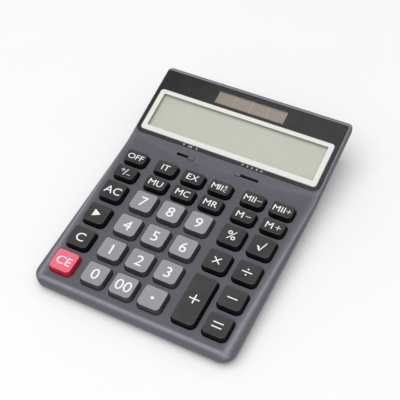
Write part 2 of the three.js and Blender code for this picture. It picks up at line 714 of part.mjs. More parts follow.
function batteryCell() {
  const low = DOOR_TOP + GAP;
  const can = rod(CELL.radius, low, low + CELL.canHeight, CELL.x, CELL_Y, FINE_STEPS);
  const capRadius = CELL.radius - CELL.capInset;
  const cap = rod(capRadius, low + CELL.canHeight / 2, low + CELL.height, CELL.x, CELL_Y, FINE_STEPS);
  return geometryOf(join(solid(can), solid(cap)));
}

function contactLeaf() {
  const above = DOOR_TOP + CELL.height + 2 * GAP;
  const reach = CELL.radius + CUP_WALL + LEAF.reach;
  const points = [
    new THREE.Vector3(0, CELL_Y - reach, above + LEAF.lift),
    new THREE.Vector3(0, CELL_Y - reach + LEAF.tail, above + LEAF.lift),
    new THREE.Vector3(0, CELL_Y - LEAF.flat, above),
    new THREE.Vector3(0, CELL_Y + LEAF.flat, above),
    new THREE.Vector3(0, CELL_Y + 2 * LEAF.flat, above + LEAF.tip),
  ];
  return strip(points, CONTACT.thickness, CONTACT.width, CELL.x);
}

function contactSide() {
  const side = CELL_Y + CELL.radius + GAP + CONTACT.thickness;
  const low = PAD_TOP + GAP;
  const high = DOOR_TOP + CELL.height - SIDE_CONTACT.bend;
  const points = [
    new THREE.Vector3(0, side, high),
    new THREE.Vector3(0, side, low + CONTACT.thickness),
    new THREE.Vector3(0, side + SIDE_CONTACT.bend, low),
    new THREE.Vector3(0, side + SIDE_CONTACT.foot, low),
  ];
  return strip(points, CONTACT.thickness, CONTACT.width, CELL.x);
}

function batteryDoor() {
  const length = DOOR_END - DOOR_START;
  const middle = DOOR_START + length / 2;
  const plate = solid(block(DOOR.width, length, UNDERSIDE, DOOR_TOP, CELL.x, middle));
  const tongueWidth = DOOR.width + 2 * DOOR_TONGUE.reach;
  const tongueLow = DOOR_TOP - DOOR_TONGUE.thickness;
  const tongueLength = length - 2 * TONGUE_END;
  const tongues = solid(block(tongueWidth, tongueLength, tongueLow, DOOR_TOP, CELL.x, middle));
  return geometryOf(join(plate, tongues));
}

// ---- screws and feet ----

function caseScrew(place) {
  const seat = place.joint - SEAT_WALL - GAP;
  const { y } = bossSpan(place);
  const head = rod(SCREW.head, seat - SCREW.headHeight, seat, place.x, y, ROUND_STEPS);
  const top = Math.min(seat + SCREW.length, bossSpan(place).top - BLIND_END - GAP);
  const shank = rod(SCREW.shank, seat - 0.5, top, place.x, y, ROUND_STEPS);
  return geometryOf(join(solid(head), solid(shank)));
}

// ---- the calculator ----

const calculator = new THREE.Group();
calculator.add(deckFrame, headFrame);

function place(parent, name, geometry, material, position = [0, 0, 0]) {
  const mesh = new THREE.Mesh(geometry, material.clone());
  mesh.name = name;
  mesh.position.set(...position);
  parent.add(mesh);
}

place(calculator, 'upper_case', upperCase(), HOUSING);
place(calculator, 'lower_case', lowerCase(), HOUSING);

const panelTop = -PANEL_SINK;
place(headFrame, 'display_panel', prism(panelOutline(0), panelTop - PANEL_THICKNESS, panelTop), PANEL_BLACK);
place(headFrame, 'display_bezel', bezel(), BEZEL_WHITE);
const cellFace = -GLASS_DEPTH;
place(headFrame, 'display_cell', prism(glassOutline(0), cellFace - GLASS_THICKNESS, cellFace), DISPLAY_GREEN);
place(headFrame, 'solar_cell', prism(solarOutline(0), POCKET_FLOOR - SOLAR.thickness, POCKET_FLOOR), SOLAR_BROWN);
place(calculator, 'display_ribbon', displayRibbon(), FILM);
place(calculator, 'solar_lead', solarLead(), CABLE);

place(deckFrame, 'dome_mat', domeMat(), SILICONE);
place(deckFrame, 'circuit_board', circuitBoard(), BOARD_GREEN);
place(deckFrame, 'chip_cover', chipCover(), EPOXY);

const caps = new Map();
for (const { name, u, v, size } of KEYS) {
  if (!caps.has(size.length)) {
    caps.set(size.length, keyCap(size));
  }
  place(deckFrame, `key_${name}`, caps.get(size.length), keyMaterial(name), [u, v, 0]);
}

const knob = switchKnob();
for (const { name, rest } of SWITCHES) {
  place(headFrame, name, knob, KEY_BLACK, [rest, SWITCH_PLACE, 0]);
}

place(calculator, 'battery', batteryCell(), STEEL);
place(calculator, 'battery_contact_top', contactLeaf(), STEEL);
place(calculator, 'battery_contact_side', contactSide(), STEEL);
place(calculator, 'battery_door', batteryDoor(), HOUSING);

for (const spot of SCREW_PLACES) {
  place(calculator, `screw_${spot.name}`, caseScrew(spot), STEEL);
}

const footHeight = FOOT.proud + FOOT.sunk;
for (const { name, x, y } of footPlaces()) {
  place(calculator, `foot_${name}`, rod(FOOT.radius, 0, footHeight, 0, 0, FINE_STEPS), RUBBER, [x, y, 0]);
}

export default calculator;
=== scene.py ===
"""Desk calculator: moulded case, keys with printed legends and skirts in painted shade, gloss panel, display and solar
cell.

Sizes are millimetres, and MM turns them into metres where a mesh is made.
"""
import json
import math

import bmesh
import bpy
from mathutils import Matrix, Vector

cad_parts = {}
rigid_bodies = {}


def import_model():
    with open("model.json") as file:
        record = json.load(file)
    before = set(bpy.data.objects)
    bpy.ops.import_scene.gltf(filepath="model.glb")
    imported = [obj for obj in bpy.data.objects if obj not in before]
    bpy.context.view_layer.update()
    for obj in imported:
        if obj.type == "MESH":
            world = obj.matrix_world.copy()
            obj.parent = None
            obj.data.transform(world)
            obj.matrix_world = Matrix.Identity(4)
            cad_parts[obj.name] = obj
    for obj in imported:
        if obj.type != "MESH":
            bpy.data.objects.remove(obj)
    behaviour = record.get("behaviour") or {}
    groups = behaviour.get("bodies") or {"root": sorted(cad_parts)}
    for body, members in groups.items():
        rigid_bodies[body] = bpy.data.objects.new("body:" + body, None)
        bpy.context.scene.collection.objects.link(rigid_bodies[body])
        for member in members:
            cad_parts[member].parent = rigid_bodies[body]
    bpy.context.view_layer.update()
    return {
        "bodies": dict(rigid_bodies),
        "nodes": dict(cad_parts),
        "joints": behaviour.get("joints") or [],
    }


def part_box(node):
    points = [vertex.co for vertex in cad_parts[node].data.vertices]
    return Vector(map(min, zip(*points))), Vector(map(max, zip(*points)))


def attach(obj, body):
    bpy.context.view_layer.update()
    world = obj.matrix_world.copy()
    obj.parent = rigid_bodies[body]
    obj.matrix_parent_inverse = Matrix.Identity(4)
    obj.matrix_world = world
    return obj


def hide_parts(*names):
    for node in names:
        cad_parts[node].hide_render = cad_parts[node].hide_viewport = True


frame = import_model()

MM = 0.001

# ---- the case, as the frame has it ----
DECK_SLOPE = math.radians(4)
HEAD_SLOPE = math.radians(14)
DECK_LENGTH = 131
HEAD_LENGTH = 71
DECK_HEIGHT = 11.5
RIM_DROP = 3
LID_DEPTH = 3.4
LID_WALL = 2
FRONT_RIM = 3.7
SIDE_RIM_FRONT = 5.6
SIDE_RIM_BACK = 1.3
BACK_RIM = 3
FRONT_CORNER = 10
BACK_CORNER = 3.6
SEAM_STEP = 0.4
SEAM_GAP = 0.3
TRAY_INSET = 0.1
TRAY_DEPTH = 7.5  # the bands under the seam end this far below the lid's face
TRAY_ROUND = 1.2
UNDERSIDE = 1
FLOOR = 3
BELLY_LEVELS = [(12.5, 4.2, 1.0), (10.5, 1.8, 5.5), (9.0, 1.8, 9.0)]  # side inset, end inset, height
CREASE_BOW = 8  # the crease runs this much further back at the sides than in the middle
CREASE_WIDTH = 3.2
CREASE_FADE = (69, 73)  # half widths between which the bowed crease straightens into the rim

# ---- keys ----
KEY_FLANGE = 1.6  # flange beyond the top's outline
KEY_TAPER = 0.7
KEY_EDGE = 0.36
KEY_WALL = 1.5
KEY_DISH = 0.28
KEY_GAP = 0.35
KEY_CORNER_LARGE = 3.2
KEY_CORNER_SMALL = 3.0
KEY_BACK_CORNER = 2.0
LARGE_LENGTH = 13  # a key longer than this has the large corner

# ---- panel and bezel ----
BEZEL_SIDE = 4.0
BEZEL_BOTTOM = 4.3
BEZEL_TOP = 3.4
BEZEL_CORNER = 2.6
PANEL_CORNERS = (5, 2)
PANEL_FACE = -0.3
LID_LIP = 0.3  # rounding at the mouth of an opening

CORNER_STEPS = 8
GREY_KEYS = {
    "one", "two", "three", "four", "five", "six", "seven", "eight", "nine", "zero", "double_zero", "point",
}


def case_frame():
    """The deck's and the head's own frames: x across, y along the face, z out of it."""
    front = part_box("upper_case")[0].y / MM
    start = Vector((0, front - RIM_DROP * math.sin(DECK_SLOPE), DECK_HEIGHT))
    deck_place = Matrix.Translation(start) @ Matrix.Rotation(DECK_SLOPE, 4, "X")
    crease = deck_place @ Vector((0, DECK_LENGTH, 0))
    return deck_place, Matrix.Translation(crease) @ Matrix.Rotation(HEAD_SLOPE, 4, "X")


deck, head = case_frame()
CASE_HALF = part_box("upper_case")[1].x / MM
CASE_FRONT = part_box("upper_case")[0].y / MM
CASE_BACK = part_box("upper_case")[1].y / MM


def local_box(node, place):
    """A node's lowest and highest corner in the deck's or the head's frame."""
    inward = place.inverted()
    points = [inward @ (vertex.co / MM) for vertex in frame["nodes"][node].data.vertices]
    low = Vector([min(point[axis] for point in points) for axis in range(3)])
    high = Vector([max(point[axis] for point in points) for axis in range(3)])
    return low, high


def smooth(share):
    share = min(max(share, 0.0), 1.0)
    return share * share * (3 - 2 * share)


# ---------------------------------------------------------------- meshes

def make_object(name, points, faces, materials=(), face_materials=None):
    """An object at the origin from points in millimetres."""
    mesh = bpy.data.meshes.new(name)
    mesh.from_pydata([tuple(Vector(point) * MM) for point in points], [], faces)
    for material in materials:
        mesh.materials.append(material)
    if face_materials:
        mesh.polygons.foreach_set("material_index", face_materials)
    obj = bpy.data.objects.new(name, mesh)
    bpy.context.scene.collection.objects.link(obj)
    return obj


def tidy_mesh(obj, merge=0.0005):
    """Merges doubled corners and turns every face outwards."""
    edit = bmesh.new()
    edit.from_mesh(obj.data)
    bmesh.ops.remove_doubles(edit, verts=edit.verts, dist=merge * MM)
    bmesh.ops.recalc_face_normals(edit, faces=edit.faces)
    edit.to_mesh(obj.data)
    edit.free()
    return obj


def loft(name, rings, materials=(), close=True, ring_materials=None):
    """A skin over rings that have the same number of points, closed by a face at each end."""
    count = len(rings[0])
    points = [point for ring in rings for point in ring]
    faces, slots = [], []
    for level in range(len(rings) - 1):
        for step in range(count):
            a = level * count + step
            b = level * count + (step + 1) % count
            faces.append((a, b, b + count, a + count))
            slots.append(ring_materials[level] if ring_materials else 0)
    if close:
        faces.append(tuple(reversed(range(count))))
        faces.append(tuple(range(len(points) - count, len(points))))
        slots += [slots[0], slots[-1]]
    return make_object(name, points, faces, materials, slots)


def add_rows(points, faces, right, columns, lift, outward=True):
    """Fills a symmetrical ring with rows of quads, from its right half. lift gives each point's place."""
    first, width = len(points), columns + 1
    for x, y in right:
        points += [lift(x * (2 * cut / columns - 1), y) for cut in range(width)]
    for row in range(len(right) - 1):
        for column in range(columns):
            a = first + row * width + column
            quad = (a, a + 1, a + 1 + width, a + width)
            faces.append(quad if outward else tuple(reversed(quad)))


def join(name, objects):
    """One object from several, with their materials kept."""
    materials = []
    edit = bmesh.new()
    for obj in objects:
        shift = {}
        for index, material in enumerate(obj.data.materials):
            if material not in materials:
                materials.append(material)
            shift[index] = materials.index(material)
        before = len(edit.faces)
        edit.from_mesh(obj.data)
        edit.faces.ensure_lookup_table()
        for face in edit.faces[before:]:
            face.material_index = shift.get(face.material_index, 0)
        bpy.data.objects.remove(obj)
    mesh = bpy.data.meshes.new(name)
    edit.to_mesh(mesh)
    edit.free()
    for material in materials:
        mesh.materials.append(material)
    joined = bpy.data.objects.new(name, mesh)
    bpy.context.scene.collection.objects.link(joined)
    return joined


def apply_modifiers(obj):
    """Bakes the modifiers into a plain mesh."""
    bpy.context.view_layer.update()
    graph = bpy.context.evaluated_depsgraph_get()
    mesh = bpy.data.meshes.new_from_object(obj.evaluated_get(graph))
    obj.modifiers.clear()
    obj.data = mesh
    return obj


def boolean(obj, cutter, operation="DIFFERENCE"):
    cut = obj.modifiers.new("cut", "BOOLEAN")
    cut.operation = operation
    cut.solver = "MANIFOLD"
    cut.object = cutter
    apply_modifiers(obj)
    bpy.data.objects.remove(cutter)
    return obj


def shade(obj, angle=32):
    """Smooth faces with crisp edges past the angle, and flats that stay flat next to roundings."""
    edit = bmesh.new()
    edit.from_mesh(obj.data)
    limit = math.radians(angle)
    for face in edit.faces:
        face.smooth = True
    for edge in edit.edges:
        edge.smooth = len(edge.link_faces) == 2 and edge.calc_face_angle(0) < limit
    edit.to_mesh(obj.data)
    edit.free()
    weighted = obj.modifiers.new("weighted", "WEIGHTED_NORMAL")
    weighted.keep_sharp = True
    weighted.weight = 60
    return apply_modifiers(obj)


def mark_edges(obj, edge_by_place=None, least=3, full=14):
    """Stores how far each corner sticks out, for paler edges: scuffs, and a painted highlight along rounded edges. An
    optional rule can change it by place.
    """
    edit = bmesh.new()
    edit.from_mesh(obj.data)
    layer = edit.verts.layers.float.new("edge")
    for edge in edit.edges:
        if len(edge.link_faces) == 2 and edge.is_convex:
            angle = math.degrees(edge.calc_face_angle(0))
            if angle > least:
                for vert in edge.verts:
                    vert[layer] = max(vert[layer], min(angle / full, 1.0))
    if edge_by_place:
        for vert in edit.verts:
            vert[layer] = edge_by_place(vert.co, vert[layer])
    edit.to_mesh(obj.data)
    edit.free()
    return obj


def finish_piece(obj, body, nodes=(), angle=32, edge_by_place=None):
    tidy_mesh(obj)
    mark_edges(obj, edge_by_place)
    shade(obj, angle)
    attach(obj, body)
    if nodes:
        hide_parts(*nodes)
    return obj


# ---------------------------------------------------------------- outlines

def rounded_ring(width, length, radius, x=0, y=0, z=0, steps=CORNER_STEPS, cuts=4, place=None, back=None):
    """A rounded rectangle's points, anticlockwise, with each straight side cut into a few lengths.

    back is the radius of its two back corners, where that differs."""
    front = max(radius, 0.02)
    back = max(back, 0.02) if back else front
    near_x, near_y = width / 2 - front, length / 2 - front
    far_x, far_y = width / 2 - back, length / 2 - back
    corners = [(near_x, -near_y, -90, front), (far_x, far_y, 0, back), (-far_x, far_y, 90, back),
               (-near_x, -near_y, 180, front)]
    points = []
    for index, (cx, cy, turn, radius) in enumerate(corners):
        for step in range(steps + 1):
            angle = math.radians(turn + 90 * step / steps)
            points.append(Vector((x + cx + radius * math.cos(angle), y + cy + radius * math.sin(angle), z)))
        nx, ny, turn, radius = corners[(index + 1) % 4]
        angle = math.radians(turn)
        end = Vector((x + nx + radius * math.cos(angle), y + ny + radius * math.sin(angle), z))
        start = points[-1].copy()
        points += [start.lerp(end, cut / cuts) for cut in range(1, cuts)]
    return [place @ point for point in points] if place else points


def round_ring(radius, x, y, z, sides=32):
    turn = 2 * math.pi / sides
    return [Vector((x + radius * math.cos(turn * i), y + radius * math.sin(turn * i), z)) for i in range(sides)]


def curve(start, bend, end, steps):
    """Points of a quadratic curve through start and end, pulled towards bend."""
    points = []
    for step in range(steps + 1):
        t = step / steps
        points.append(tuple(
            (1 - t) ** 2 * a + 2 * t * (1 - t) * b + t * t * c for a, b, c in zip(start, bend, end)
        ))
    return points


# ---------------------------------------------------------------- shader groups

def shader_group(name, inputs, outputs):
    """An empty shader node group with named sockets."""
    tree = bpy.data.node_groups.new(name, "ShaderNodeTree")
    for label, kind, value in inputs:
        socket = tree.interface.new_socket(label, in_out="INPUT", socket_type=kind)
        if value is not None:
            socket.default_value = value
    for label, kind in outputs:
        tree.interface.new_socket(label, in_out="OUTPUT", socket_type=kind)
    return tree, tree.nodes.new("NodeGroupInput"), tree.nodes.new("NodeGroupOutput")


def add(tree, kind, **settings):
    node = tree.nodes.new(kind)
    for key, value in settings.items():
        setattr(node, key, value)
    return node


def feed(tree, socket, value):
    """Sets a socket to a number or colour, or links another node's socket to it."""
    if isinstance(value, bpy.types.NodeSocket):
        tree.links.new(value, socket)
    else:
        socket.default_value = value


def noise(tree, vector, scale, detail=2.0, roughness=0.5):
    node = add(tree, "ShaderNodeTexNoise")
    feed(tree, node.inputs["Vector"], vector)
    feed(tree, node.inputs["Scale"], scale)
    node.inputs["Detail"].default_value = detail
    node.inputs["Roughness"].default_value = roughness
    return node.outputs["Fac"]


def remap(tree, value, low, high, to_low=0.0, to_high=1.0):
    node = add(tree, "ShaderNodeMapRange", clamp=True)
    for key, item in zip(("Value", "From Min", "From Max", "To Min", "To Max"), (value, low, high, to_low, to_high)):
        feed(tree, node.inputs[key], item)
    return node.outputs["Result"]


def calc(tree, operation, a, b=0.0):
    node = add(tree, "ShaderNodeMath", operation=operation)
    feed(tree, node.inputs[0], a)
    feed(tree, node.inputs[1], b)
    return node.outputs[0]


def mix_colour(tree, share, a, b, blend="MIX"):
    node = add(tree, "ShaderNodeMix", data_type="RGBA", blend_type=blend)
    feed(tree, node.inputs["Factor"], share)
    feed(tree, node.inputs["A"], a)
    feed(tree, node.inputs["B"], b)
    return node.outputs["Result"]


FLOAT, COLOUR, VECTOR = "NodeSocketFloat", "NodeSocketColor", "NodeSocketVector"


def spark_grain_group():
    """The fine pitted grain that a spark-eroded mould leaves, as a height."""
    tree, given, out = shader_group(
        "spark grain", [("Vector", VECTOR, None), ("Grains per metre", FLOAT, 3000.0)], [("Height", FLOAT)])
    vector, scale = given.outputs["Vector"], given.outputs["Grains per metre"]
    fine = noise(tree, vector, scale, 3.0, 0.6)
    pits = add(tree, "ShaderNodeTexVoronoi", feature="SMOOTH_F1")
    feed(tree, pits.inputs["Vector"], vector)
    feed(tree, pits.inputs["Scale"], calc(tree, "MULTIPLY", scale, 0.6))
    pit_depth = remap(tree, pits.outputs["Distance"], 0.1, 0.7)
    feed(tree, out.inputs["Height"], calc(tree, "ADD", calc(tree, "MULTIPLY", fine, 0.7), pit_depth))
    return tree


def batch_colour_group():
    """Slow drift and fine speckle in a moulding's colour."""
    tree, given, out = shader_group(
        "batch colour",
        [("Vector", VECTOR, None), ("Colour", COLOUR, (0.5, 0.5, 0.5, 1)), ("Drift", FLOAT, 0.06),
         ("Speckle", FLOAT, 0.1), ("Speckles per metre", FLOAT, 2500.0)],
        [("Colour", COLOUR)])
    vector = given.outputs["Vector"]
    slow = calc(tree, "SUBTRACT", noise(tree, vector, 18.0, 3.0), 0.5)
    fine = calc(tree, "SUBTRACT", noise(tree, vector, given.outputs["Speckles per metre"], 2.0), 0.5)
    change = calc(tree, "ADD", calc(tree, "MULTIPLY", slow, given.outputs["Drift"]),
                  calc(tree, "MULTIPLY", fine, given.outputs["Speckle"]))
    scale = add(tree, "ShaderNodeVectorMath", operation="SCALE")
    feed(tree, scale.inputs[0], given.outputs["Colour"])
    feed(tree, scale.inputs["Scale"], calc(tree, "ADD", calc(tree, "MULTIPLY", change, 2.0), 1.0))
    feed(tree, out.inputs["Colour"], scale.outputs[0])
    return tree


def edge_wear_and_highlight_group():
    """Paler, broken colour along the edges that stick out: scuffs, and a painted highlight on rounded edges."""
    tree, given, out = shader_group(
        "edge wear",
        [("Vector", VECTOR, None), ("Colour", COLOUR, (0.5, 0.5, 0.5, 1)), ("Worn colour", COLOUR, (0.7, 0.7, 0.7, 1)),
         ("Amount", FLOAT, 0.5)],
        [("Colour", COLOUR), ("Mask", FLOAT)])
    edge = add(tree, "ShaderNodeAttribute", attribute_name="edge").outputs["Fac"]
    broken = remap(tree, noise(tree, given.outputs["Vector"], 420.0, 4.0, 0.65), 0.35, 0.65, 0.72, 1.0)
    mask = calc(tree, "MULTIPLY", calc(tree, "MULTIPLY", edge, broken), given.outputs["Amount"])
    feed(tree, out.inputs["Colour"], mix_colour(tree, mask, given.outputs["Colour"], given.outputs["Worn colour"]))
    feed(tree, out.inputs["Mask"], mask)
    return tree


def dust_group():
    """A thin film of dust on what faces up, thicker in slow patches."""
    tree, given, out = shader_group(
        "dust film",
        [("Vector", VECTOR, None), ("Colour", COLOUR, (0.5, 0.5, 0.5, 1)), ("Amount", FLOAT, 0.05)],
        [("Colour", COLOUR), ("Mask", FLOAT)])
    normal = add(tree, "ShaderNodeNewGeometry").outputs["Normal"]
    split = add(tree, "ShaderNodeSeparateXYZ")
    feed(tree, split.inputs[0], normal)
    up = remap(tree, split.outputs["Z"], 0.5, 0.95)
    patch = remap(tree, noise(tree, given.outputs["Vector"], 60.0, 5.0, 0.7), 0.35, 0.75)
    mask = calc(tree, "MULTIPLY", calc(tree, "MULTIPLY", up, patch), given.outputs["Amount"])
    feed(tree, out.inputs["Colour"], mix_colour(tree, mask, given.outputs["Colour"], (0.62, 0.6, 0.57, 1)))
    feed(tree, out.inputs["Mask"], mask)
    return tree


def handling_group():
    """Smudges and polish from fingers, as a change in roughness."""
    tree, given, out = shader_group(
        "handling", [("Vector", VECTOR, None), ("Roughness", FLOAT, 0.4), ("Spread", FLOAT, 0.1)],
        [("Roughness", FLOAT)])
    smears = noise(tree, given.outputs["Vector"], 55.0, 6.0, 0.7)
    change = calc(tree, "MULTIPLY", calc(tree, "SUBTRACT", smears, 0.5), given.outputs["Spread"])
    feed(tree, out.inputs["Roughness"], calc(tree, "ADD", given.outputs["Roughness"], change))
    return tree


GRAIN = spark_grain_group()
BATCH = batch_colour_group()
WEAR_AND_HIGHLIGHT = edge_wear_and_highlight_group()
DUST = dust_group()
HANDLING = handling_group()


def place_group(tree, group, **values):
    node = add(tree, "ShaderNodeGroup", node_tree=group)
    for key, value in values.items():
        feed(tree, node.inputs[key.replace("_", " ")], value)
    return node


def srgb(red, green, blue):
    """A colour from its usual 0 to 255 numbers."""
    linear = [((c / 255 + 0.055) / 1.055) ** 2.4 if c > 10 else c / 255 / 12.92 for c in (red, green, blue)]
    return (*linear, 1.0)


def moulding(name, colour, worn_and_highlight, roughness, grain=3000.0, grain_depth=0.02, wear_and_highlight=0.4, dust=0.03, drift=0.06,
             speckle=0.1, spread=0.12, coat=0.0, coat_roughness=0.1, specular=0.5, alpha=1.0, metallic=0.0):
    """A moulded, printed or coated surface with grain, drift, paler edges that are scuffs and a painted highlight,
    dust and smudges.
    """
    material = bpy.data.materials.new(name)
    material.use_nodes = True
    tree = material.node_tree
    shader = tree.nodes["Principled BSDF"]
    vector = add(tree, "ShaderNodeTexCoord").outputs["Object"]
    batch = place_group(tree, BATCH, Vector=vector, Colour=colour, Drift=drift, Speckle=speckle,
                        Speckles_per_metre=grain * 0.8)
    edge_wear_and_highlight = place_group(tree, WEAR_AND_HIGHLIGHT, Vector=vector, Colour=batch.outputs["Colour"], Worn_colour=worn_and_highlight, Amount=wear_and_highlight)
    dusty = place_group(tree, DUST, Vector=vector, Colour=edge_wear_and_highlight.outputs["Colour"], Amount=dust)
    feed(tree, shader.inputs["Base Color"], dusty.outputs["Colour"])
    rough = place_group(tree, HANDLING, Vector=vector, Roughness=roughness, Spread=spread)
    polished = calc(tree, "SUBTRACT", rough.outputs["Roughness"],
                    calc(tree, "MULTIPLY", edge_wear_and_highlight.outputs["Mask"], 0.15))
    feed(tree, shader.inputs["Roughness"], calc(tree, "ADD", polished, dusty.outputs["Mask"]))
    height = place_group(tree, GRAIN, Vector=vector, Grains_per_metre=grain)
    bump = add(tree, "ShaderNodeBump")
    bump.inputs["Strength"].default_value = 1.0
    bump.inputs["Distance"].default_value = grain_depth * MM
    feed(tree, bump.inputs["Height"], height.outputs["Height"])
    feed(tree, shader.inputs["Normal"], bump.outputs["Normal"])
    shader.inputs["Coat Weight"].default_value = coat
    shader.inputs["Coat Roughness"].default_value = coat_roughness
    shader.inputs["Specular IOR Level"].default_value = specular
    shader.inputs["Metallic"].default_value = metallic
    shader.inputs["Alpha"].default_value = alpha
    return material


# ---------------------------------------------------------------- finishes

# The case's paler edge colour is mostly a painted highlight along the rim's crest.
CASE_SLATE = moulding("slate case plastic", srgb(82, 80, 91), srgb(186, 184, 192), 0.5, wear_and_highlight=0.42)
CASE_UNDER = moulding("slate underside plastic", srgb(76, 74, 86), srgb(120, 118, 128), 0.55, grain=2200.0)
# Each key's skirt is a darker copy of its top's plastic, painted shade; the red top's pink holds a painted sheen.
KEY_BLACK = moulding("black key plastic", srgb(30, 29, 29), srgb(110, 110, 108), 0.42, wear_and_highlight=0.35)
KEY_BLACK_SKIRT_SHADED = moulding("black key skirt, painted shade", srgb(9, 9, 10), srgb(46, 46, 46), 0.5, wear_and_highlight=0.1, specular=0.25)
KEY_GREY = moulding("grey key plastic", srgb(144, 143, 147), srgb(190, 189, 192), 0.45, wear_and_highlight=0.35)
KEY_GREY_SKIRT_SHADED = moulding("grey key skirt, painted shade", srgb(70, 68, 71), srgb(100, 98, 100), 0.5, wear_and_highlight=0.2)
KEY_RED_TOP_WITH_SHEEN = moulding("red key top, painted sheen", srgb(236, 100, 126), srgb(248, 160, 176), 0.42, wear_and_highlight=0.3)
KEY_RED_SKIRT_SHADED = moulding("red key skirt, painted shade", srgb(200, 20, 52), srgb(222, 60, 90), 0.45, wear_and_highlight=0.2)
LEGEND_INK = moulding("white legend ink", srgb(246, 246, 246), srgb(236, 236, 236), 0.5, grain=6000.0,
                      grain_depth=0.006, wear_and_highlight=0.1, dust=0.0, drift=0.02, speckle=0.04)
# The knob's paler edge colour paints a highlight on its rounded top.
KNOB_PLASTIC = moulding("switch knob plastic", srgb(56, 55, 66), srgb(140, 138, 148), 0.38, wear_and_highlight=0.5)
PANEL_BLACK = moulding("gloss black panel print", srgb(16, 16, 17), srgb(60, 60, 62), 0.16, grain=900.0,
                       grain_depth=0.001, wear_and_highlight=0.2, dust=0.02, speckle=0.02, spread=0.1, specular=0.22)
BEZEL_CREAM = moulding("cream bezel plastic", srgb(222, 219, 214), srgb(240, 238, 234), 0.4, grain=4500.0,
                       grain_depth=0.008, wear_and_highlight=0.3, drift=0.03, speckle=0.04)
WINDOW_CLEAR = moulding("clear window", srgb(240, 244, 240), srgb(250, 250, 250), 0.06, grain=400.0,
                        grain_depth=0.0004, wear_and_highlight=0.0, dust=0.02, drift=0.01, speckle=0.0, spread=0.05, alpha=0.05)
DISPLAY_FACE = moulding("display polariser", srgb(180, 183, 168), srgb(186, 189, 174), 0.3, grain=7000.0,
                        grain_depth=0.003, wear_and_highlight=0.0, dust=0.01, drift=0.03, speckle=0.02, coat=0.2)
GLASS_EDGE = moulding("display glass edge", srgb(120, 132, 122), srgb(160, 170, 160), 0.2, wear_and_highlight=0.3)
SOLAR_BROWN = moulding("amorphous solar layer", srgb(118, 99, 80), srgb(134, 117, 99), 0.28, grain=1500.0,
                       grain_depth=0.002, wear_and_highlight=0.0, drift=0.14, speckle=0.05, coat=0.4)
SOLAR_LINE = moulding("solar conductor print", srgb(168, 160, 148), srgb(180, 174, 164), 0.4, wear_and_highlight=0.0)
RUBBER = moulding("foot rubber", srgb(34, 34, 36), srgb(62, 62, 62), 0.8, grain=1800.0, grain_depth=0.04, dust=0.08)
STEEL = moulding("zinc plated steel", srgb(188, 190, 194), srgb(220, 222, 224), 0.32, grain=1500.0,
                 grain_depth=0.006, drift=0.12, metallic=1.0)
BATTERY_STEEL = moulding("battery can steel", srgb(200, 201, 204), srgb(226, 228, 230), 0.24, grain=2500.0,
                         grain_depth=0.004, metallic=1.0)
SILICONE = moulding("dome mat silicone", srgb(184, 186, 182), srgb(200, 200, 198), 0.65, grain=1500.0)
BOARD = moulding("circuit board resist", srgb(44, 104, 68), srgb(90, 140, 100), 0.4, grain=900.0, drift=0.2)
EPOXY = moulding("chip potting", srgb(22, 22, 25), srgb(40, 40, 42), 0.3, grain=700.0, grain_depth=0.05)
FILM = moulding("ribbon film", srgb(196, 140, 58), srgb(220, 170, 90), 0.3, grain=1200.0, drift=0.15)
LEAD_SLEEVE = moulding("lead sleeve", srgb(170, 44, 44), srgb(190, 80, 80), 0.5, grain=1600.0)


# ---------------------------------------------------------------- lid

COLUMN_CUTS = 44
SIDE_STEPS_FRONT = 26
SIDE_STEPS_BEND = 30
SIDE_STEPS_BACK = 12
BEND_START, BEND_END = 126, 143  # the stretch that holds the crease, cut finely
# Where the painted highlight along the rim's crest is strongest, and how far it reaches, in shares of the rim's width.
CREST_MIDDLE, CREST_REACH = 0.98, 0.62
CREST_START, CREST_END = 0.6, 1.35  # the rim's rounding, in shares of the rim's width from the edge


def side_rim(along):
    share = min(along / DECK_LENGTH, 1.0)
    return SIDE_RIM_FRONT + (SIDE_RIM_BACK - SIDE_RIM_FRONT) * share


def skin(u, along, depth=0.0):
    """A point of the lid: across, along the top face from the front edge, and below it."""
    share = (along - DECK_LENGTH) / 1.6 + 0.5
    on_deck = deck @ Vector((u, along, -depth))
    on_head = head @ Vector((u, along - DECK_LENGTH, -depth))
    return on_deck.lerp(on_head, smooth(share))


def crease_dip(u, along):
    """How far the face lies under the head's plane before the bowed crease."""
    past = along - DECK_LENGTH
    if past <= 0:
        return 0.0
    line = CREASE_BOW * (u / CASE_HALF) ** 2
    step = smooth((past - line) / CREASE_WIDTH + 0.5)
    fade = 1 - smooth((abs(u) - CREASE_FADE[0]) / (CREASE_FADE[1] - CREASE_FADE[0]))
    return past * math.sin(HEAD_SLOPE - DECK_SLOPE) * (1 - step) * fade


def right_side(share, extra=0.0):
    """The right half of a lid ring, from the front edge to the back edge, at a share of the rim's width."""
    front, back = FRONT_RIM * share + extra, DECK_LENGTH + HEAD_LENGTH - BACK_RIM * share - extra
    front_radius = max(FRONT_CORNER - front, 0.3)
    back_radius = max(BACK_CORNER - BACK_RIM * share - extra, 0.3)

    def half(along):
        return CASE_HALF - side_rim(along) * share - extra

    points = []
    centre = front + front_radius
    for step in range(CORNER_STEPS + 1):
        angle = math.radians(-90 + 90 * step / CORNER_STEPS)
        reach = half(centre) - front_radius
        points.append((reach + front_radius * math.cos(angle), centre + front_radius * math.sin(angle)))
    stretches = [
        (centre, BEND_START, SIDE_STEPS_FRONT),
        (BEND_START, BEND_END, SIDE_STEPS_BEND),
        (BEND_END, back - back_radius, SIDE_STEPS_BACK),
    ]
    for start, end, steps in stretches:
        for step in range(1, steps + 1):
            along = start + (end - start) * step / steps
            points.append((half(along), along))
    centre = back - back_radius
    for step in range(1, CORNER_STEPS + 1):
        angle = math.radians(90 * step / CORNER_STEPS)
        reach = half(centre) - back_radius
        points.append((reach + back_radius * math.cos(angle), centre + back_radius * math.sin(angle)))
    return points


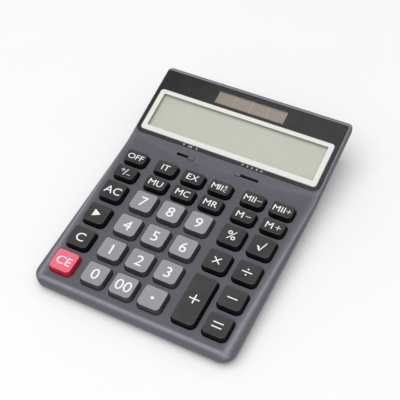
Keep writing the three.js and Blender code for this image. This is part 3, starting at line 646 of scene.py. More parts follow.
def whole_ring(right):
    """All round from a right half: front edge, right side, back edge, left side."""
    def edge(end, sign):
        return [(sign * end[0] * (2 * cut / COLUMN_CUTS - 1), end[1]) for cut in range(COLUMN_CUTS + 1)]
    left = [(-u, along) for u, along in reversed(right[1:-1])]
    return edge(right[0], 1) + right[1:-1] + edge(right[-1], -1) + left


def lid_shell():
    """The lid before its openings are cut."""
    outer = [(0.1, LID_DEPTH), (0.0, LID_DEPTH - 0.3), (0.0, RIM_DROP + 0.06)]
    outer += [(0.02, RIM_DROP - 0.16), (0.3, RIM_DROP * 0.7)]
    outer += curve((CREST_START, RIM_DROP * (1 - CREST_START)), (1.0, 0.0), (CREST_END, 0.0), 8)
    rings = [[skin(u, along, LID_WALL) for u, along in whole_ring(right_side(CREST_END))]]
    rings.append([skin(u, along, LID_DEPTH) for u, along in whole_ring(right_side(CREST_END))])
    for share, depth in outer:
        rings.append([skin(u, along, depth) for u, along in whole_ring(right_side(share))])
    count = len(rings[0])
    points = [point for ring in rings for point in ring]
    faces = []
    for level in range(len(rings) - 1):
        for step in range(count):
            a, b = level * count + step, level * count + (step + 1) % count
            faces.append((a, b, b + count, a + count))
    inner = right_side(CREST_END)
    add_rows(points, faces, inner, COLUMN_CUTS, lambda u, along: skin(u, along, crease_dip(u, along)))
    add_rows(points, faces, inner, COLUMN_CUTS, lambda u, along: skin(u, along, LID_WALL), outward=False)
    return tidy_mesh(make_object("lid", points, faces, [CASE_SLATE]), 0.01)


def mouth_cutter(name, ring_at, depth, lip=LID_LIP):
    """A cutter whose mouth flares, so that the opening it cuts has a rounded lip.

    ring_at gives the outline grown by an amount at a height over the face."""
    rings = [ring_at(0.0, -depth)]
    rings += [ring_at(grow, high) for grow, high in curve((0.0, -lip), (0.0, 0.0), (lip, 0.0), 4)]
    rings += [ring_at(lip + 0.05, 0.02), ring_at(lip + 0.05, 3.0)]
    return loft(name, rings)


KEYS = sorted(name for name in frame["nodes"] if name.startswith("key_"))


def key_size(node):
    """A key top's middle on the deck, its width and length, its corner and its height."""
    low, high = local_box(node, deck)
    width, length = high.x - low.x - 2 * KEY_FLANGE, high.y - low.y - 2 * KEY_FLANGE
    corner = KEY_CORNER_LARGE if length > LARGE_LENGTH else KEY_CORNER_SMALL
    return (low.x + high.x) / 2, (low.y + high.y) / 2, width, length, corner, low.z, high.z


panel_low, panel_high = local_box("display_panel", head)
bezel_low, bezel_high = local_box("display_bezel", head)
cell_low, cell_high = local_box("display_cell", head)
solar_low, solar_high = local_box("solar_cell", head)
WINDOW = {
    "width": bezel_high.x - bezel_low.x - 2 * BEZEL_SIDE,
    "start": bezel_low.y + BEZEL_BOTTOM,
    "end": bezel_high.y - BEZEL_TOP,
}


def ring_between(low_x, high_x, low_y, high_y, radius, z, place, **options):
    return rounded_ring(high_x - low_x, high_y - low_y, radius, (low_x + high_x) / 2, (low_y + high_y) / 2, z,
                        place=place, **options)


def key_openings():
    cutters = []
    for node in KEYS:
        x, y, width, length, corner, _, _ = key_size(node)
        spare = KEY_TAPER + KEY_GAP

        def ring_at(grow, high):
            total = 2 * (spare + grow)
            return rounded_ring(width + total, length + total, corner + spare + grow, x, y, high, place=deck,
                                back=KEY_BACK_CORNER + spare + grow)
        cutters.append(mouth_cutter(f"opening_{node}", ring_at, LID_WALL + 1))
    return join("openings", cutters)


def panel_ring(grow, high, place=head):
    """The panel's outline: rounder corners at the front than at the back."""
    low_x, high_x = panel_low.x - grow, panel_high.x + grow
    low_y, high_y = panel_low.y - grow, panel_high.y + grow
    front, back = PANEL_CORNERS[0] + grow, PANEL_CORNERS[1] + grow
    corners = [
        (high_x - front, low_y + front, front, -90), (high_x - back, high_y - back, back, 0),
        (low_x + back, high_y - back, back, 90), (low_x + front, low_y + front, front, 180),
    ]
    points = []
    for x, y, radius, turn in corners:
        for step in range(CORNER_STEPS + 1):
            angle = math.radians(turn + 90 * step / CORNER_STEPS)
            points.append(place @ Vector((x + radius * math.cos(angle), y + radius * math.sin(angle), high)))
    return points


SWITCHES = {
    "rounding_switch": "rounding_switch_slide",
    "decimal_switch": "decimal_switch_slide",
}
STEM_WIDTH = 2.4
SLOT_LENGTH = 2.2
SLOT_GAP = 0.3


def slot_cutters():
    """One slot for each slide switch, as long as its travel."""
    cutters = []
    for node, joint in SWITCHES.items():
        low, high = local_box(node, head)
        middle = (low.x + high.x) / 2
        reach = next(j for j in frame["joints"] if j["name"] == joint)["range_m"]
        start = middle + reach[0] / MM - STEM_WIDTH / 2 - SLOT_GAP
        end = middle + reach[1] / MM + STEM_WIDTH / 2 + SLOT_GAP
        across = (low.y + high.y) / 2

        def ring_at(grow, height):
            return ring_between(start - grow, end + grow, across - SLOT_LENGTH / 2 - grow,
                                across + SLOT_LENGTH / 2 + grow, 0.4 + grow, height, head, steps=4)
        cutters.append(mouth_cutter(f"slot_{node}", ring_at, LID_WALL + 3, 0.15))
    return join("slots", cutters)


def crest_highlight_and_wear(point, bump):
    """How strongly the lid's paler edge colour shows at a point: a painted highlight most along the rim's crest, and a
    little scuffing on edges that stick out.
    """
    flat = deck.inverted() @ (point / MM)
    past_crease = max(0.0, (head.inverted() @ (point / MM)).y)
    along = min(flat.y, DECK_LENGTH) + past_crease
    edge = min((CASE_HALF - abs(flat.x)) / side_rim(along), along / FRONT_RIM,
               (DECK_LENGTH + HEAD_LENGTH - along) / BACK_RIM)
    near = 1 - min(abs(edge - CREST_MIDDLE) / CREST_REACH, 1.0)
    return max(near * near * (3 - 2 * near), 0.12 * bump)


def upper_case():
    lid = lid_shell()
    boolean(lid, key_openings())
    boolean(lid, slot_cutters())
    boolean(lid, mouth_cutter("pocket", lambda grow, high: panel_ring(SLOT_GAP + grow, high), 1.6, 0.2))
    windows = [
        loft("cell_well", [ring_between(cell_low.x - SLOT_GAP, cell_high.x + SLOT_GAP, cell_low.y - SLOT_GAP,
                                        cell_high.y + SLOT_GAP, 0.4, z, head) for z in (-6, -1)]),
        loft("solar_well", [ring_between(solar_low.x - SLOT_GAP, solar_high.x + SLOT_GAP, solar_low.y - SLOT_GAP,
                                         solar_high.y + SLOT_GAP, 0.4, z, head) for z in (-6, -1)]),
    ]
    boolean(lid, join("wells", windows))
    # The paler band along the rim's crest is a painted highlight.
    return finish_piece(lid, "case", ["upper_case"], edge_by_place=crest_highlight_and_wear)


# ---------------------------------------------------------------- keys

LEGENDS = {
    "off": [("OFF", 4.9, 0, 0)],
    "item": [("IT", 5.2, 0, 0)],
    "exchange": [("EX", 5.2, 0, 0)],
    "memory2_recall": [("M", 5.0, -3.9, 0), ("II", 5.0, 0.5, 0), ("R", 2.5, 4.2, 1.6), ("C", 2.5, 4.2, -1.6)],
    "memory2_minus": [("MII", 5.0, -2.1, 0), ("−", 5.4, 5.0, 0)],
    "memory2_plus": [("MII", 5.0, -2.1, 0), ("+", 5.4, 5.0, 0)],
    "sign": [("+", 5.0, -2.6, 1.3), ("/", 6.0, 0, 0), ("−", 5.0, 3.0, -1.8)],
    "mark_up": [("MU", 5.2, 0, 0)],
    "memory_clear": [("MC", 5.2, 0, 0)],
    "memory_recall": [("MR", 5.2, 0, 0)],
    "memory_minus": [("M", 5.2, -2.6, 0), ("−", 6.0, 3.8, 0)],
    "memory_plus": [("M", 5.2, -2.6, 0), ("+", 6.0, 3.8, 0)],
    "all_clear": [("AC", 6.4, 0, 0)],
    "percent": [("%", 7.2, 0, 0)],
    "root": [("√", 7.6, 0, 0)],
    "shift": [("▶", 4.8, 0, 0)],
    "multiply": [("×", 10.0, 0, 0)],
    "divide": [("÷", 11.0, 0, 0)],
    "clear": [("C", 7.0, 0, 0)],
    "clear_entry": [("CE", 6.4, 0, 0)],
    "plus": [("+", 11.4, 0, 0)],
    "minus": [("−", 10.8, 0, 0)],
    "equals": [("=", 10.8, 0, 0)],
    "zero": [("0", 8.2, 0, 0)],
    "double_zero": [("00", 8.2, 0, 0)],
    "point": [("•", 6.4, 0, 0)],
}
DIGITS = ["one", "two", "three", "four", "five", "six", "seven", "eight", "nine"]
LEGENDS.update({name: [(str(value + 1), 8.2, 0, 0)] for value, name in enumerate(DIGITS)})
LEGENDS["one"].append(("/", 2.4, -1.1, 2.6))
THIN_SIGNS = ("×", "÷", "−", "+", "=", "√")
SIGN_THINNING = 0.02
LETTER_STRETCH = 1.1
KEY_CUTS = 8  # lengths along each straight side of a key
CAPITAL = 0.727  # height of a capital for a text size of one
LEGEND_RISE = 0.02
LEGEND_EMBED = 0.12


def text_outline(words, height):
    """Flat triangles of a few letters, centred on the origin, with points in millimetres."""
    text = bpy.data.curves.new("letters", "FONT")
    text.body = words
    text.size = height / CAPITAL
    if words in THIN_SIGNS:
        text.offset = -SIGN_THINNING * height
    text.resolution_u = 4
    text.align_x = "CENTER"
    holder = bpy.data.objects.new("letters", text)
    bpy.context.scene.collection.objects.link(holder)
    bpy.context.view_layer.update()
    mesh = bpy.data.meshes.new_from_object(holder.evaluated_get(bpy.context.evaluated_depsgraph_get()))
    bpy.data.objects.remove(holder)
    xs = [vertex.co.x for vertex in mesh.vertices]
    ys = [vertex.co.y for vertex in mesh.vertices]
    middle = Vector(((min(xs) + max(xs)) / 2, (min(ys) + max(ys)) / 2, 0))
    for vertex in mesh.vertices:
        vertex.co -= middle
        vertex.co.x *= LETTER_STRETCH
    return mesh


def legend(name, runs, place, height_at, material, longest=2.0):
    """Raised letters laid on a face whose height is known, sunk a little into it."""
    edit = bmesh.new()
    for words, height, x, y in runs:
        mesh = text_outline(words, height)
        mesh.transform(Matrix.Translation((x, y, 0)))
        edit.from_mesh(mesh)
        bpy.data.meshes.remove(mesh)
    bmesh.ops.remove_doubles(edit, verts=edit.verts, dist=1e-4)
    for axis in (Vector((1, 0, 0)), Vector((0, 1, 0))):
        reach = max(abs(axis.dot(vertex.co)) for vertex in edit.verts)
        cuts = math.ceil(reach / longest)
        for cut in range(1 - cuts, cuts):
            everything = edit.verts[:] + edit.edges[:] + edit.faces[:]
            bmesh.ops.bisect_plane(edit, geom=everything, dist=1e-4, plane_co=axis * (cut * longest), plane_no=axis)
    for vertex in edit.verts:
        vertex.co.z = height_at(vertex.co.x, vertex.co.y) - LEGEND_EMBED
    for face in edit.faces:
        if face.normal.z < 0:
            face.normal_flip()
    bottom = list(edit.faces)
    raised = bmesh.ops.extrude_face_region(edit, geom=bottom, use_keep_orig=True)
    for item in raised["geom"]:
        if isinstance(item, bmesh.types.BMVert):
            item.co.z += LEGEND_EMBED + LEGEND_RISE
    bmesh.ops.transform(edit, matrix=Matrix.Scale(MM, 4) @ place, verts=edit.verts)
    bmesh.ops.recalc_face_normals(edit, faces=edit.faces)
    mesh = bpy.data.meshes.new(name)
    edit.to_mesh(mesh)
    edit.free()
    mesh.materials.append(material)
    obj = bpy.data.objects.new(name, mesh)
    bpy.context.scene.collection.objects.link(obj)
    return obj


# The skirt colours are painted shade, and the red top colour holds a painted sheen.
def key_finish(name):
    if name == "clear_entry":
        return KEY_RED_SKIRT_SHADED, KEY_RED_TOP_WITH_SHEEN, "key_red"
    if name in GREY_KEYS:
        return KEY_GREY_SKIRT_SHADED, KEY_GREY, "key_grey"
    return KEY_BLACK_SKIRT_SHADED, KEY_BLACK, "key_black"


def key_cap(node):
    """A hollow cap with a flange, a dished top and its legend."""
    name = node.removeprefix("key_")
    x, y, width, length, corner, bottom, top = key_size(node)
    side, face, slot = key_finish(name)

    def dish(px, py):
        across, along = 2 * px / width, 2 * py / length
        return top - KEY_DISH * max(0.0, 1 - across * across) * max(0.0, 1 - along * along)

    def ring(grow, z):
        return rounded_ring(width + 2 * grow, length + 2 * grow, max(corner + grow, 0.25), 0, 0, z, cuts=KEY_CUTS,
                            back=max(KEY_BACK_CORNER + grow, 0.25))

    def on_deck(point):
        return deck @ (Vector((x, y, 0)) + point)

    flange_top = bottom + 1
    profile = [(-KEY_WALL, top - 2 * KEY_WALL), (-KEY_WALL, bottom), (KEY_FLANGE, bottom),
               (KEY_FLANGE, flange_top), (KEY_TAPER, flange_top), (0.03, top - 0.75)]
    profile += curve((0.0, top - KEY_EDGE - 0.1), (-0.02, top - 0.02), (-KEY_EDGE, top), 5)
    rings = [ring(grow, z) for grow, z in profile]
    rings.append([Vector((point.x, point.y, dish(point.x, point.y))) for point in ring(-KEY_EDGE - 0.3, 0)])
    count = len(rings[0])
    points = [on_deck(point) for points_at in rings for point in points_at]
    faces = [tuple(reversed(range(count)))]
    for level in range(len(rings) - 1):
        for step in range(count):
            a, b = level * count + step, level * count + (step + 1) % count
            faces.append((a, b, b + count, a + count))
    skirt = len(faces) - 2 * count
    right = [(point.x, point.y) for point in rings[-1][:2 * CORNER_STEPS + KEY_CUTS + 1]]
    add_rows(points, faces, right, KEY_CUTS, lambda px, py: on_deck(Vector((px, py, dish(px, py)))))
    # Skirt faces take the darker skirt colour as painted shade, top faces the top colour.
    cap = make_object(node, points, faces, [side, face], [0] * skirt + [1] * (len(faces) - skirt))
    letters = legend(f"legend_{name}", LEGENDS[name], deck @ Matrix.Translation((x, y, 0)), dish, LEGEND_INK)
    mark_edges(tidy_mesh(cap))
    shade(cap, 40)
    shade(letters, 30)
    piece = join(f"cap_{name}", [cap, letters])
    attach(piece, node)
    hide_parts(node)
    return piece


def switch_knob(node):
    """A rounded nub on a stem, with a wider foot under the lid."""
    low, high = local_box(node, head)
    x, y = (low.x + high.x) / 2, (low.y + high.y) / 2
    foot = (high.x - low.x, high.y - low.y)
    stem = (STEM_WIDTH, 1.6)
    knob = (4.8, 3.2)

    def ring(size, grow, z, corner):
        return rounded_ring(size[0] + 2 * grow, size[1] + 2 * grow, corner, x, y, z, steps=6, cuts=2, place=head)
    rings = [ring(foot, 0, low.z, 0.5), ring(foot, 0, low.z + 1, 0.5), ring(stem, 0, low.z + 1, 0.5),
             ring(stem, 0, SLOT_GAP, 0.5), ring(knob, -0.1, SLOT_GAP, 0.9), ring(knob, 0, SLOT_GAP + 0.1, 1.0)]
    for grow, z in curve((0.0, high.z - 0.75), (-0.25, high.z - 0.05), (-1.3, high.z), 6):
        rings.append(ring(knob, grow, z, max(1.3 + grow, 0.2)))
    return finish_piece(loft(f"knob_{node}", rings, [KNOB_PLASTIC]), node, [node], 45)


# ---------------------------------------------------------------- panel, bezel, display, solar cell

def window_ring(grow, z):
    half = WINDOW["width"] / 2 + grow
    return ring_between(-half, half, WINDOW["start"] - grow, WINDOW["end"] + grow, 0.5 + max(grow, 0), z, head)


def solar_ring(grow, z):
    return ring_between(solar_low.x - grow, solar_high.x + grow, solar_low.y - grow, solar_high.y + grow,
                        0.4, z, head)


def panel():
    """The panel's black print on clear sheet, the two clear windows in it, and the switch marks."""
    low, high = panel_low.z, panel_high.z
    body = [panel_ring(-0.05, low), panel_ring(0.0, low + 0.05)]
    body += [panel_ring(grow, z) for grow, z in curve((0.0, high - 0.12), (0.0, high), (-0.12, high), 3)]
    sheet = loft("panel_print", body, [PANEL_BLACK])
    boolean(sheet, loft("window_hole", [window_ring(0.3, low - 1), window_ring(0.3, high + 1)]))
    boolean(sheet, loft("solar_hole", [solar_ring(0, low - 1), solar_ring(0, high + 1)]))
    finish_piece(sheet, "case", ["display_panel"])
    windows = [
        loft("window", [window_ring(0.28, high - 0.5), window_ring(0.28, high - 0.02)], [WINDOW_CLEAR]),
        loft("solar_window", [solar_ring(-0.02, high - 0.5), solar_ring(-0.02, high - 0.02)], [WINDOW_CLEAR]),
    ]
    for window in windows:
        finish_piece(window, "case", ())
    marks_at = (panel_low.y + bezel_low.y) / 2
    rounding, decimal = (local_box(node, head) for node in SWITCHES)
    left = (rounding[0].x + rounding[1].x) / 2
    right = (decimal[0].x + decimal[1].x) / 2
    marks = [(words, 1.6, left - 10.6 * (1 - index / 2), 0) for index, words in enumerate(("↑", "5/4", "↓"))]
    marks += [(words, 1.6, right + 14.9 * index / 4, 0) for index, words in enumerate(("F", "3", "2", "0", "A"))]
    place = head @ Matrix.Translation((0, marks_at, 0))
    letters = legend("switch_marks", marks, place, lambda x, y: high, LEGEND_INK)
    shade(letters)
    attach(letters, "case")


def bezel():
    """The pale raised frame round the display."""
    high = bezel_high.z
    outer = (bezel_low.x, bezel_high.x, bezel_low.y, bezel_high.y)

    def out_ring(inset, z):
        return ring_between(outer[0] + inset, outer[1] - inset, outer[2] + inset, outer[3] - inset,
                            BEZEL_CORNER - inset, z, head)

    rings = [out_ring(0, PANEL_FACE + 0.02)]
    rings += [out_ring(inset, z) for inset, z in curve((0.0, high - 0.55), (0.1, high), (0.75, high), 5)]
    rings += [window_ring(0.5, high - 0.06), window_ring(0.12, high - 0.16), window_ring(0.0, high - 0.34)]
    rings += [window_ring(0.0, PANEL_FACE + 0.02)]
    body = loft("bezel", rings + [rings[0]], [BEZEL_CREAM], close=False)
    return finish_piece(body, "case", ["display_bezel"])


def display_cell():
    rings = [ring_between(cell_low.x + g, cell_high.x - g, cell_low.y + g, cell_high.y - g, 0.3, z, head)
             for g, z in ((0.1, cell_low.z), (0, cell_low.z + 0.1), (0, cell_high.z - 0.1), (0.1, cell_high.z))]
    cell = loft("display", rings, [GLASS_EDGE, DISPLAY_FACE])
    cell.data.polygons[-1].material_index = 1
    return finish_piece(cell, "case", ["display_cell"])


def solar_cell():
    rings = [ring_between(solar_low.x + g, solar_high.x - g, solar_low.y + g, solar_high.y - g, 0.2, z, head)
             for g, z in ((0.1, solar_low.z), (0, solar_low.z + 0.1), (0, solar_high.z - 0.1), (0.1, solar_high.z))]
    return finish_piece(loft("solar", rings, [SOLAR_BROWN]), "case", ["solar_cell"])


# ---------------------------------------------------------------- geometry nodes

def geometry_tree(name, inputs):
    tree = bpy.data.node_groups.new(name, "GeometryNodeTree")
    tree.interface.new_socket("Geometry", in_out="INPUT", socket_type="NodeSocketGeometry")
    for label, kind, value in inputs:
        socket = tree.interface.new_socket(label, in_out="INPUT", socket_type=kind)
        if value is not None:
            socket.default_value = value
    tree.interface.new_socket("Geometry", in_out="OUTPUT", socket_type="NodeSocketGeometry")
    return tree, tree.nodes.new("NodeGroupInput"), tree.nodes.new("NodeGroupOutput")


def row_tree():
    """Copies of a piece in a straight row: how many, from where, and the step between them."""
    tree, given, out = geometry_tree("row of pieces", [
        ("Piece", "NodeSocketObject", None), ("Count", "NodeSocketInt", 5),
        ("Start", "NodeSocketVector", None), ("Step", "NodeSocketVector", None),
        ("Finish", "NodeSocketMaterial", None)])
    line = add(tree, "GeometryNodeMeshLine", mode="OFFSET")
    feed(tree, line.inputs["Count"], given.outputs["Count"])
    feed(tree, line.inputs["Start Location"], given.outputs["Start"])
    feed(tree, line.inputs["Offset"], given.outputs["Step"])
    return finish_tree(tree, given, out, line.outputs["Mesh"])


def spot_tree():
    """Copies of a piece at the points of the mesh that carries the modifier."""
    tree, given, out = geometry_tree("pieces at points", [
        ("Piece", "NodeSocketObject", None), ("Finish", "NodeSocketMaterial", None)])
    return finish_tree(tree, given, out, given.outputs["Geometry"])


def finish_tree(tree, given, out, points):
    info = add(tree, "GeometryNodeObjectInfo")
    feed(tree, info.inputs["Object"], given.outputs["Piece"])
    copies = add(tree, "GeometryNodeInstanceOnPoints")
    feed(tree, copies.inputs["Points"], points)
    feed(tree, copies.inputs["Instance"], info.outputs["Geometry"])
    real = add(tree, "GeometryNodeRealizeInstances")
    feed(tree, real.inputs["Geometry"], copies.outputs["Instances"])
    paint = add(tree, "GeometryNodeSetMaterial")
    feed(tree, paint.inputs["Geometry"], real.outputs["Geometry"])
    feed(tree, paint.inputs["Material"], given.outputs["Finish"])
    feed(tree, out.inputs["Geometry"], paint.outputs["Geometry"])
    return tree


def grow_nodes(name, tree, points=((0, 0, 0),), **values):
    """Runs a geometry tree on a few points and keeps the plain mesh."""
    obj = make_object(name, points, [])
    modifier = obj.modifiers.new("nodes", "NODES")
    modifier.node_group = tree
    keys = {item.name: item.identifier for item in tree.interface.items_tree if item.in_out == "INPUT"}
    for label, value in values.items():
        modifier[keys[label]] = value
    return apply_modifiers(obj)


ROW = row_tree()
SPOTS = spot_tree()


def solar_lines():
    """The conductor lines between the cell's strips and at its ends."""
    high = solar_high.z + 0.04
    length = solar_high.y - solar_low.y - 0.8
    bar = loft("bar", [rounded_ring(0.36 - 2 * inset, length, 0.1, 0, 0, z, steps=2, cuts=1)
                       for inset, z in ((0, -0.1), (0, 0.0), (0.05, 0.03))])
    tilt = head.to_3x3().to_4x4()
    bar.data.transform(tilt)
    width = solar_high.x - solar_low.x
    strips = 4
    start = head @ Vector((solar_low.x + 0.6, (solar_low.y + solar_high.y) / 2, high - 0.03))
    step = Vector(((width - 1.2) / strips, 0, 0))
    lines = grow_nodes("solar_lines", ROW, Piece=bar, Count=strips + 1, Start=tuple(start * MM),
                       Step=tuple(step * MM), Finish=SOLAR_LINE)
    bpy.data.objects.remove(bar)
    return finish_piece(lines, "case", ())


# ---------------------------------------------------------------- lower case and what is under it

DOOR_LOW, DOOR_HIGH = (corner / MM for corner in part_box("battery_door"))
BATTERY_LOW, BATTERY_HIGH = (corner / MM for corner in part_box("battery"))
FEET = ["foot_front_left", "foot_front_right", "foot_back_left", "foot_back_right"]
SCREWS = ["screw_front_left", "screw_front_right", "screw_back_left", "screw_back_right"]
DOOR_TONGUE = 1.2


def case_ring(side, end, height):
    """The case's outline in plan, moved in at the sides and the ends. height is a number or a rule of y."""
    half, front, back = CASE_HALF - side, CASE_FRONT + end, CASE_BACK - end
    front_radius, back_radius = max(FRONT_CORNER - end, 0.4), max(BACK_CORNER - end, 0.4)
    crease = (deck @ Vector((0, DECK_LENGTH, -LID_DEPTH))).y
    right = []
    for x, y, radius, turn in ((half - front_radius, front + front_radius, front_radius, -90),
                               (half - back_radius, back - back_radius, back_radius, 0)):
        for step in range(CORNER_STEPS + 1):
            angle = math.radians(turn + 90 * step / CORNER_STEPS)
            right.append((x + radius * math.cos(angle), y + radius * math.sin(angle)))
        if turn < 0:
            stretches = ((y, crease - 6, 20), (crease - 6, crease + 6, 16), (crease + 6, back - back_radius, 10))
            for start, stop, steps in stretches:
                right += [(half, start + (stop - start) * step / steps) for step in range(1, steps)]
                if stop < back - back_radius:
                    right.append((half, stop))
    ring = right + [(-x, y) for x, y in reversed(right)]
    return [Vector((x, y, height(y) if callable(height) else height)) for x, y in ring]


def under_lid(depth):
    """The height that lies a depth below the lid's face, as a rule of y."""
    def height(y):
        on_deck = deck.translation.z + (y - deck.translation.y) * math.tan(DECK_SLOPE) - depth / math.cos(DECK_SLOPE)
        on_head = head.translation.z + (y - head.translation.y) * math.tan(HEAD_SLOPE) - depth / math.cos(HEAD_SLOPE)
        share = smooth((on_head - on_deck) / 0.6 + 0.5)
        return on_deck * (1 - share) + on_head * share
    return height


def bands(inset, depth, spare):
    """The tray's bands, from their rounded lower edge up to the seam."""
    seam = LID_DEPTH + SEAM_GAP
    rings = [case_ring(inset + grow, inset + grow, under_lid(depth - rise))
             for grow, rise in curve((TRAY_ROUND, 0.0), (0.0, 0.0), (0.0, TRAY_ROUND), 4)]
    rings += [case_ring(inset, inset, under_lid(seam + spare)), case_ring(inset + spare, inset + spare, under_lid(seam))]
    return rings


def case_bottom():
    """The bands under the seam and the belly, with feet wells, screw wells and the battery bay."""
    seam = LID_DEPTH + SEAM_GAP
    outer = bands(TRAY_INSET, TRAY_DEPTH, 0.4)
    wall, floor_depth = SEAM_STEP + LID_WALL, TRAY_DEPTH - LID_WALL
    inner = [case_ring(wall, wall, under_lid(seam)), case_ring(wall, wall, under_lid(floor_depth))]
    tub = loft("bands", outer + inner, [CASE_UNDER])
    tidy_mesh(tub)
    levels = [(BELLY_LEVELS[0][0] + 1.2, BELLY_LEVELS[0][1] + 1.0, UNDERSIDE)]
    levels += curve((*BELLY_LEVELS[0][:2], UNDERSIDE + 0.05), (*BELLY_LEVELS[0][:2], UNDERSIDE + 0.6),
                    (BELLY_LEVELS[0][0] - 0.6, BELLY_LEVELS[0][1] - 0.5, UNDERSIDE + 1.4), 3)
    levels += BELLY_LEVELS[1:]
    top = BELLY_LEVELS[-1][:2]
    rings = [case_ring(side, end, z) for side, end, z in levels]
    rings.append(case_ring(*top, under_lid(floor_depth + 0.6)))
    body = loft("belly", rings, [CASE_UNDER])
    boolean(tub, tidy_mesh(body), "UNION")
    hollow = [case_ring(side + LID_WALL, end + LID_WALL, max(z, FLOOR)) for side, end, z in BELLY_LEVELS]
    hollow.append(case_ring(top[0] + LID_WALL, top[1] + LID_WALL, under_lid(seam - 1)))
    boolean(tub, tidy_mesh(loft("hollow", hollow)))

    bay_x = (DOOR_LOW.x + DOOR_HIGH.x) / 2
    door_half = (DOOR_HIGH.x - DOOR_LOW.x) / 2 - DOOR_TONGUE
    pad_top = FLOOR + 1.6
    pad_start, pad_end = DOOR_LOW.y - 4, CASE_BACK - BELLY_LEVELS[0][1] - 1.5
    pad = loft("pad", [ring_between(bay_x - door_half - 4, bay_x + door_half + 4, pad_start, pad_end, 1, z,
                                    Matrix.Identity(4)) for z in (2.0, pad_top)])
    boolean(tub, pad, "UNION")
    centre = (BATTERY_LOW + BATTERY_HIGH) / 2
    radius = (BATTERY_HIGH.x - BATTERY_LOW.x) / 2
    cup = loft("cup", [round_ring(radius + 1.9, centre.x, centre.y, z) for z in (2.5, BATTERY_HIGH.z)])
    boolean(tub, cup, "UNION")
    cutters = [loft("well", [round_ring(radius + 0.3, centre.x, centre.y, z) for z in (-1, BATTERY_HIGH.z + 1)])]
    boolean(tub, cutters[0])

    back = CASE_BACK + 5
    bay_top = DOOR_HIGH.z + SEAM_GAP
    bay = loft("bay", [ring_between(bay_x - door_half - SEAM_GAP, bay_x + door_half + SEAM_GAP,
                                    DOOR_LOW.y - SEAM_GAP, back, 0.5, z, Matrix.Identity(4), steps=4)
                       for z in (-1, bay_top)])
    boolean(tub, bay)
    groove_half = door_half + DOOR_TONGUE + SEAM_GAP
    groove = loft("groove", [ring_between(bay_x - groove_half, bay_x + groove_half, DOOR_LOW.y - SEAM_GAP, back, 0.4,
                                          z, Matrix.Identity(4), steps=4) for z in (bay_top - 1.2, bay_top)])
    boolean(tub, groove)

    wells = []
    for node in FEET:
        low, high = (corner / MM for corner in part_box(node))
        x, y, radius = (low.x + high.x) / 2, (low.y + high.y) / 2, (high.x - low.x) / 2 + SEAM_GAP
        profile = [(radius, high.z + SEAM_GAP)]
        profile += [(radius + grow, z) for grow, z in curve((0, UNDERSIDE + 0.3), (0, UNDERSIDE), (0.3, UNDERSIDE), 3)]
        profile += [(radius + 0.35, UNDERSIDE - 0.02), (radius + 0.35, -1)]
        wells.append(loft("foot_well", [round_ring(r, x, y, z, 40) for r, z in reversed(profile)]))
    for node in SCREWS:
        low, high = (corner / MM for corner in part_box(node))
        x, y = (low.x + high.x) / 2, (low.y + high.y) / 2
        radius = (high.x - low.x) / 2 + SEAM_GAP
        profile = [(radius, low.z + 1.6)]
        profile += [(radius + grow, z) for grow, z in curve((0, UNDERSIDE + 0.5), (0, UNDERSIDE), (0.5, UNDERSIDE), 3)]
        profile += [(radius + 0.55, UNDERSIDE - 0.02), (radius + 0.55, -1)]
        wells.append(loft("screw_well", [round_ring(r, x, y, z, 24) for r, z in reversed(profile)]))
    posts = []
    for node in SCREWS:
        low, high = (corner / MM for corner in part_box(node))
        x, y = (low.x + high.x) / 2, (low.y + high.y) / 2
        posts.append(loft("post", [round_ring(4.0, x, y, z, 24) for z in (UNDERSIDE + 0.5, low.z + 3.7)]))
    boolean(tub, join("posts", posts), "UNION")
    boolean(tub, join("wells", wells))
    return finish_piece(tub, "case", ["lower_case"])


def battery_door():
    """The sliding door, with side tongues, rounded edges and a ribbed thumb grip."""
    low, high = DOOR_LOW, DOOR_HIGH
    flat = Matrix.Identity(4)
    x0, x1 = low.x + DOOR_TONGUE, high.x - DOOR_TONGUE
    rings = [ring_between(x0 + grow, x1 - grow, low.y + grow, high.y - grow, 0.8 - grow / 2, z, flat, steps=5)
             for grow, z in curve((0.35, low.z), (0.0, low.z), (0.0, low.z + 0.35), 3)]
    rings.append(ring_between(x0, x1, low.y, high.y, 0.8, high.z, flat, steps=5))
    door = loft("door", rings, [CASE_UNDER])
    tongue = loft("tongue", [ring_between(low.x, high.x, low.y + 0.5, high.y - 0.5, 0.3, z, flat, steps=3)
                             for z in (high.z - 0.6, high.z - 0.001)])
    boolean(door, tongue, "UNION")
    finish_piece(door, "battery_door", ["battery_door"])
    rib_length, rib_rise, pitch, count = 14, 0.35, 1.5, 8
    rib = loft("rib", [rounded_ring(rib_length - 2 * g, 0.8 - 2 * g, 0.35 - g, 0, 0, z, steps=3, cuts=1)
                       for g, z in ((0, 0.2), (0, -0.15), (0.12, -0.29), (0.3, -rib_rise))])
    start = Vector(((x0 + x1) / 2, low.y + 5, low.z))
    ribs = grow_nodes("door_ribs", ROW, Piece=rib, Count=count, Start=tuple(start * MM),
                      Step=(0, pitch * MM, 0), Finish=CASE_UNDER)
    bpy.data.objects.remove(rib)
    finish_piece(ribs, "battery_door", ())
    arrow = [(-2.6, 0), (2.6, 0), (0, 3.2)]
    tip = start.y + pitch * count + 2
    points = [Vector((start.x + x, tip + y, low.z + z)) for z in (0.2, -0.25) for x, y in arrow]
    faces = [(0, 1, 2), (5, 4, 3), (0, 3, 4, 1), (1, 4, 5, 2), (2, 5, 3, 0)]
    finish_piece(make_object("door_arrow", points, faces, [CASE_UNDER]), "battery_door", ())


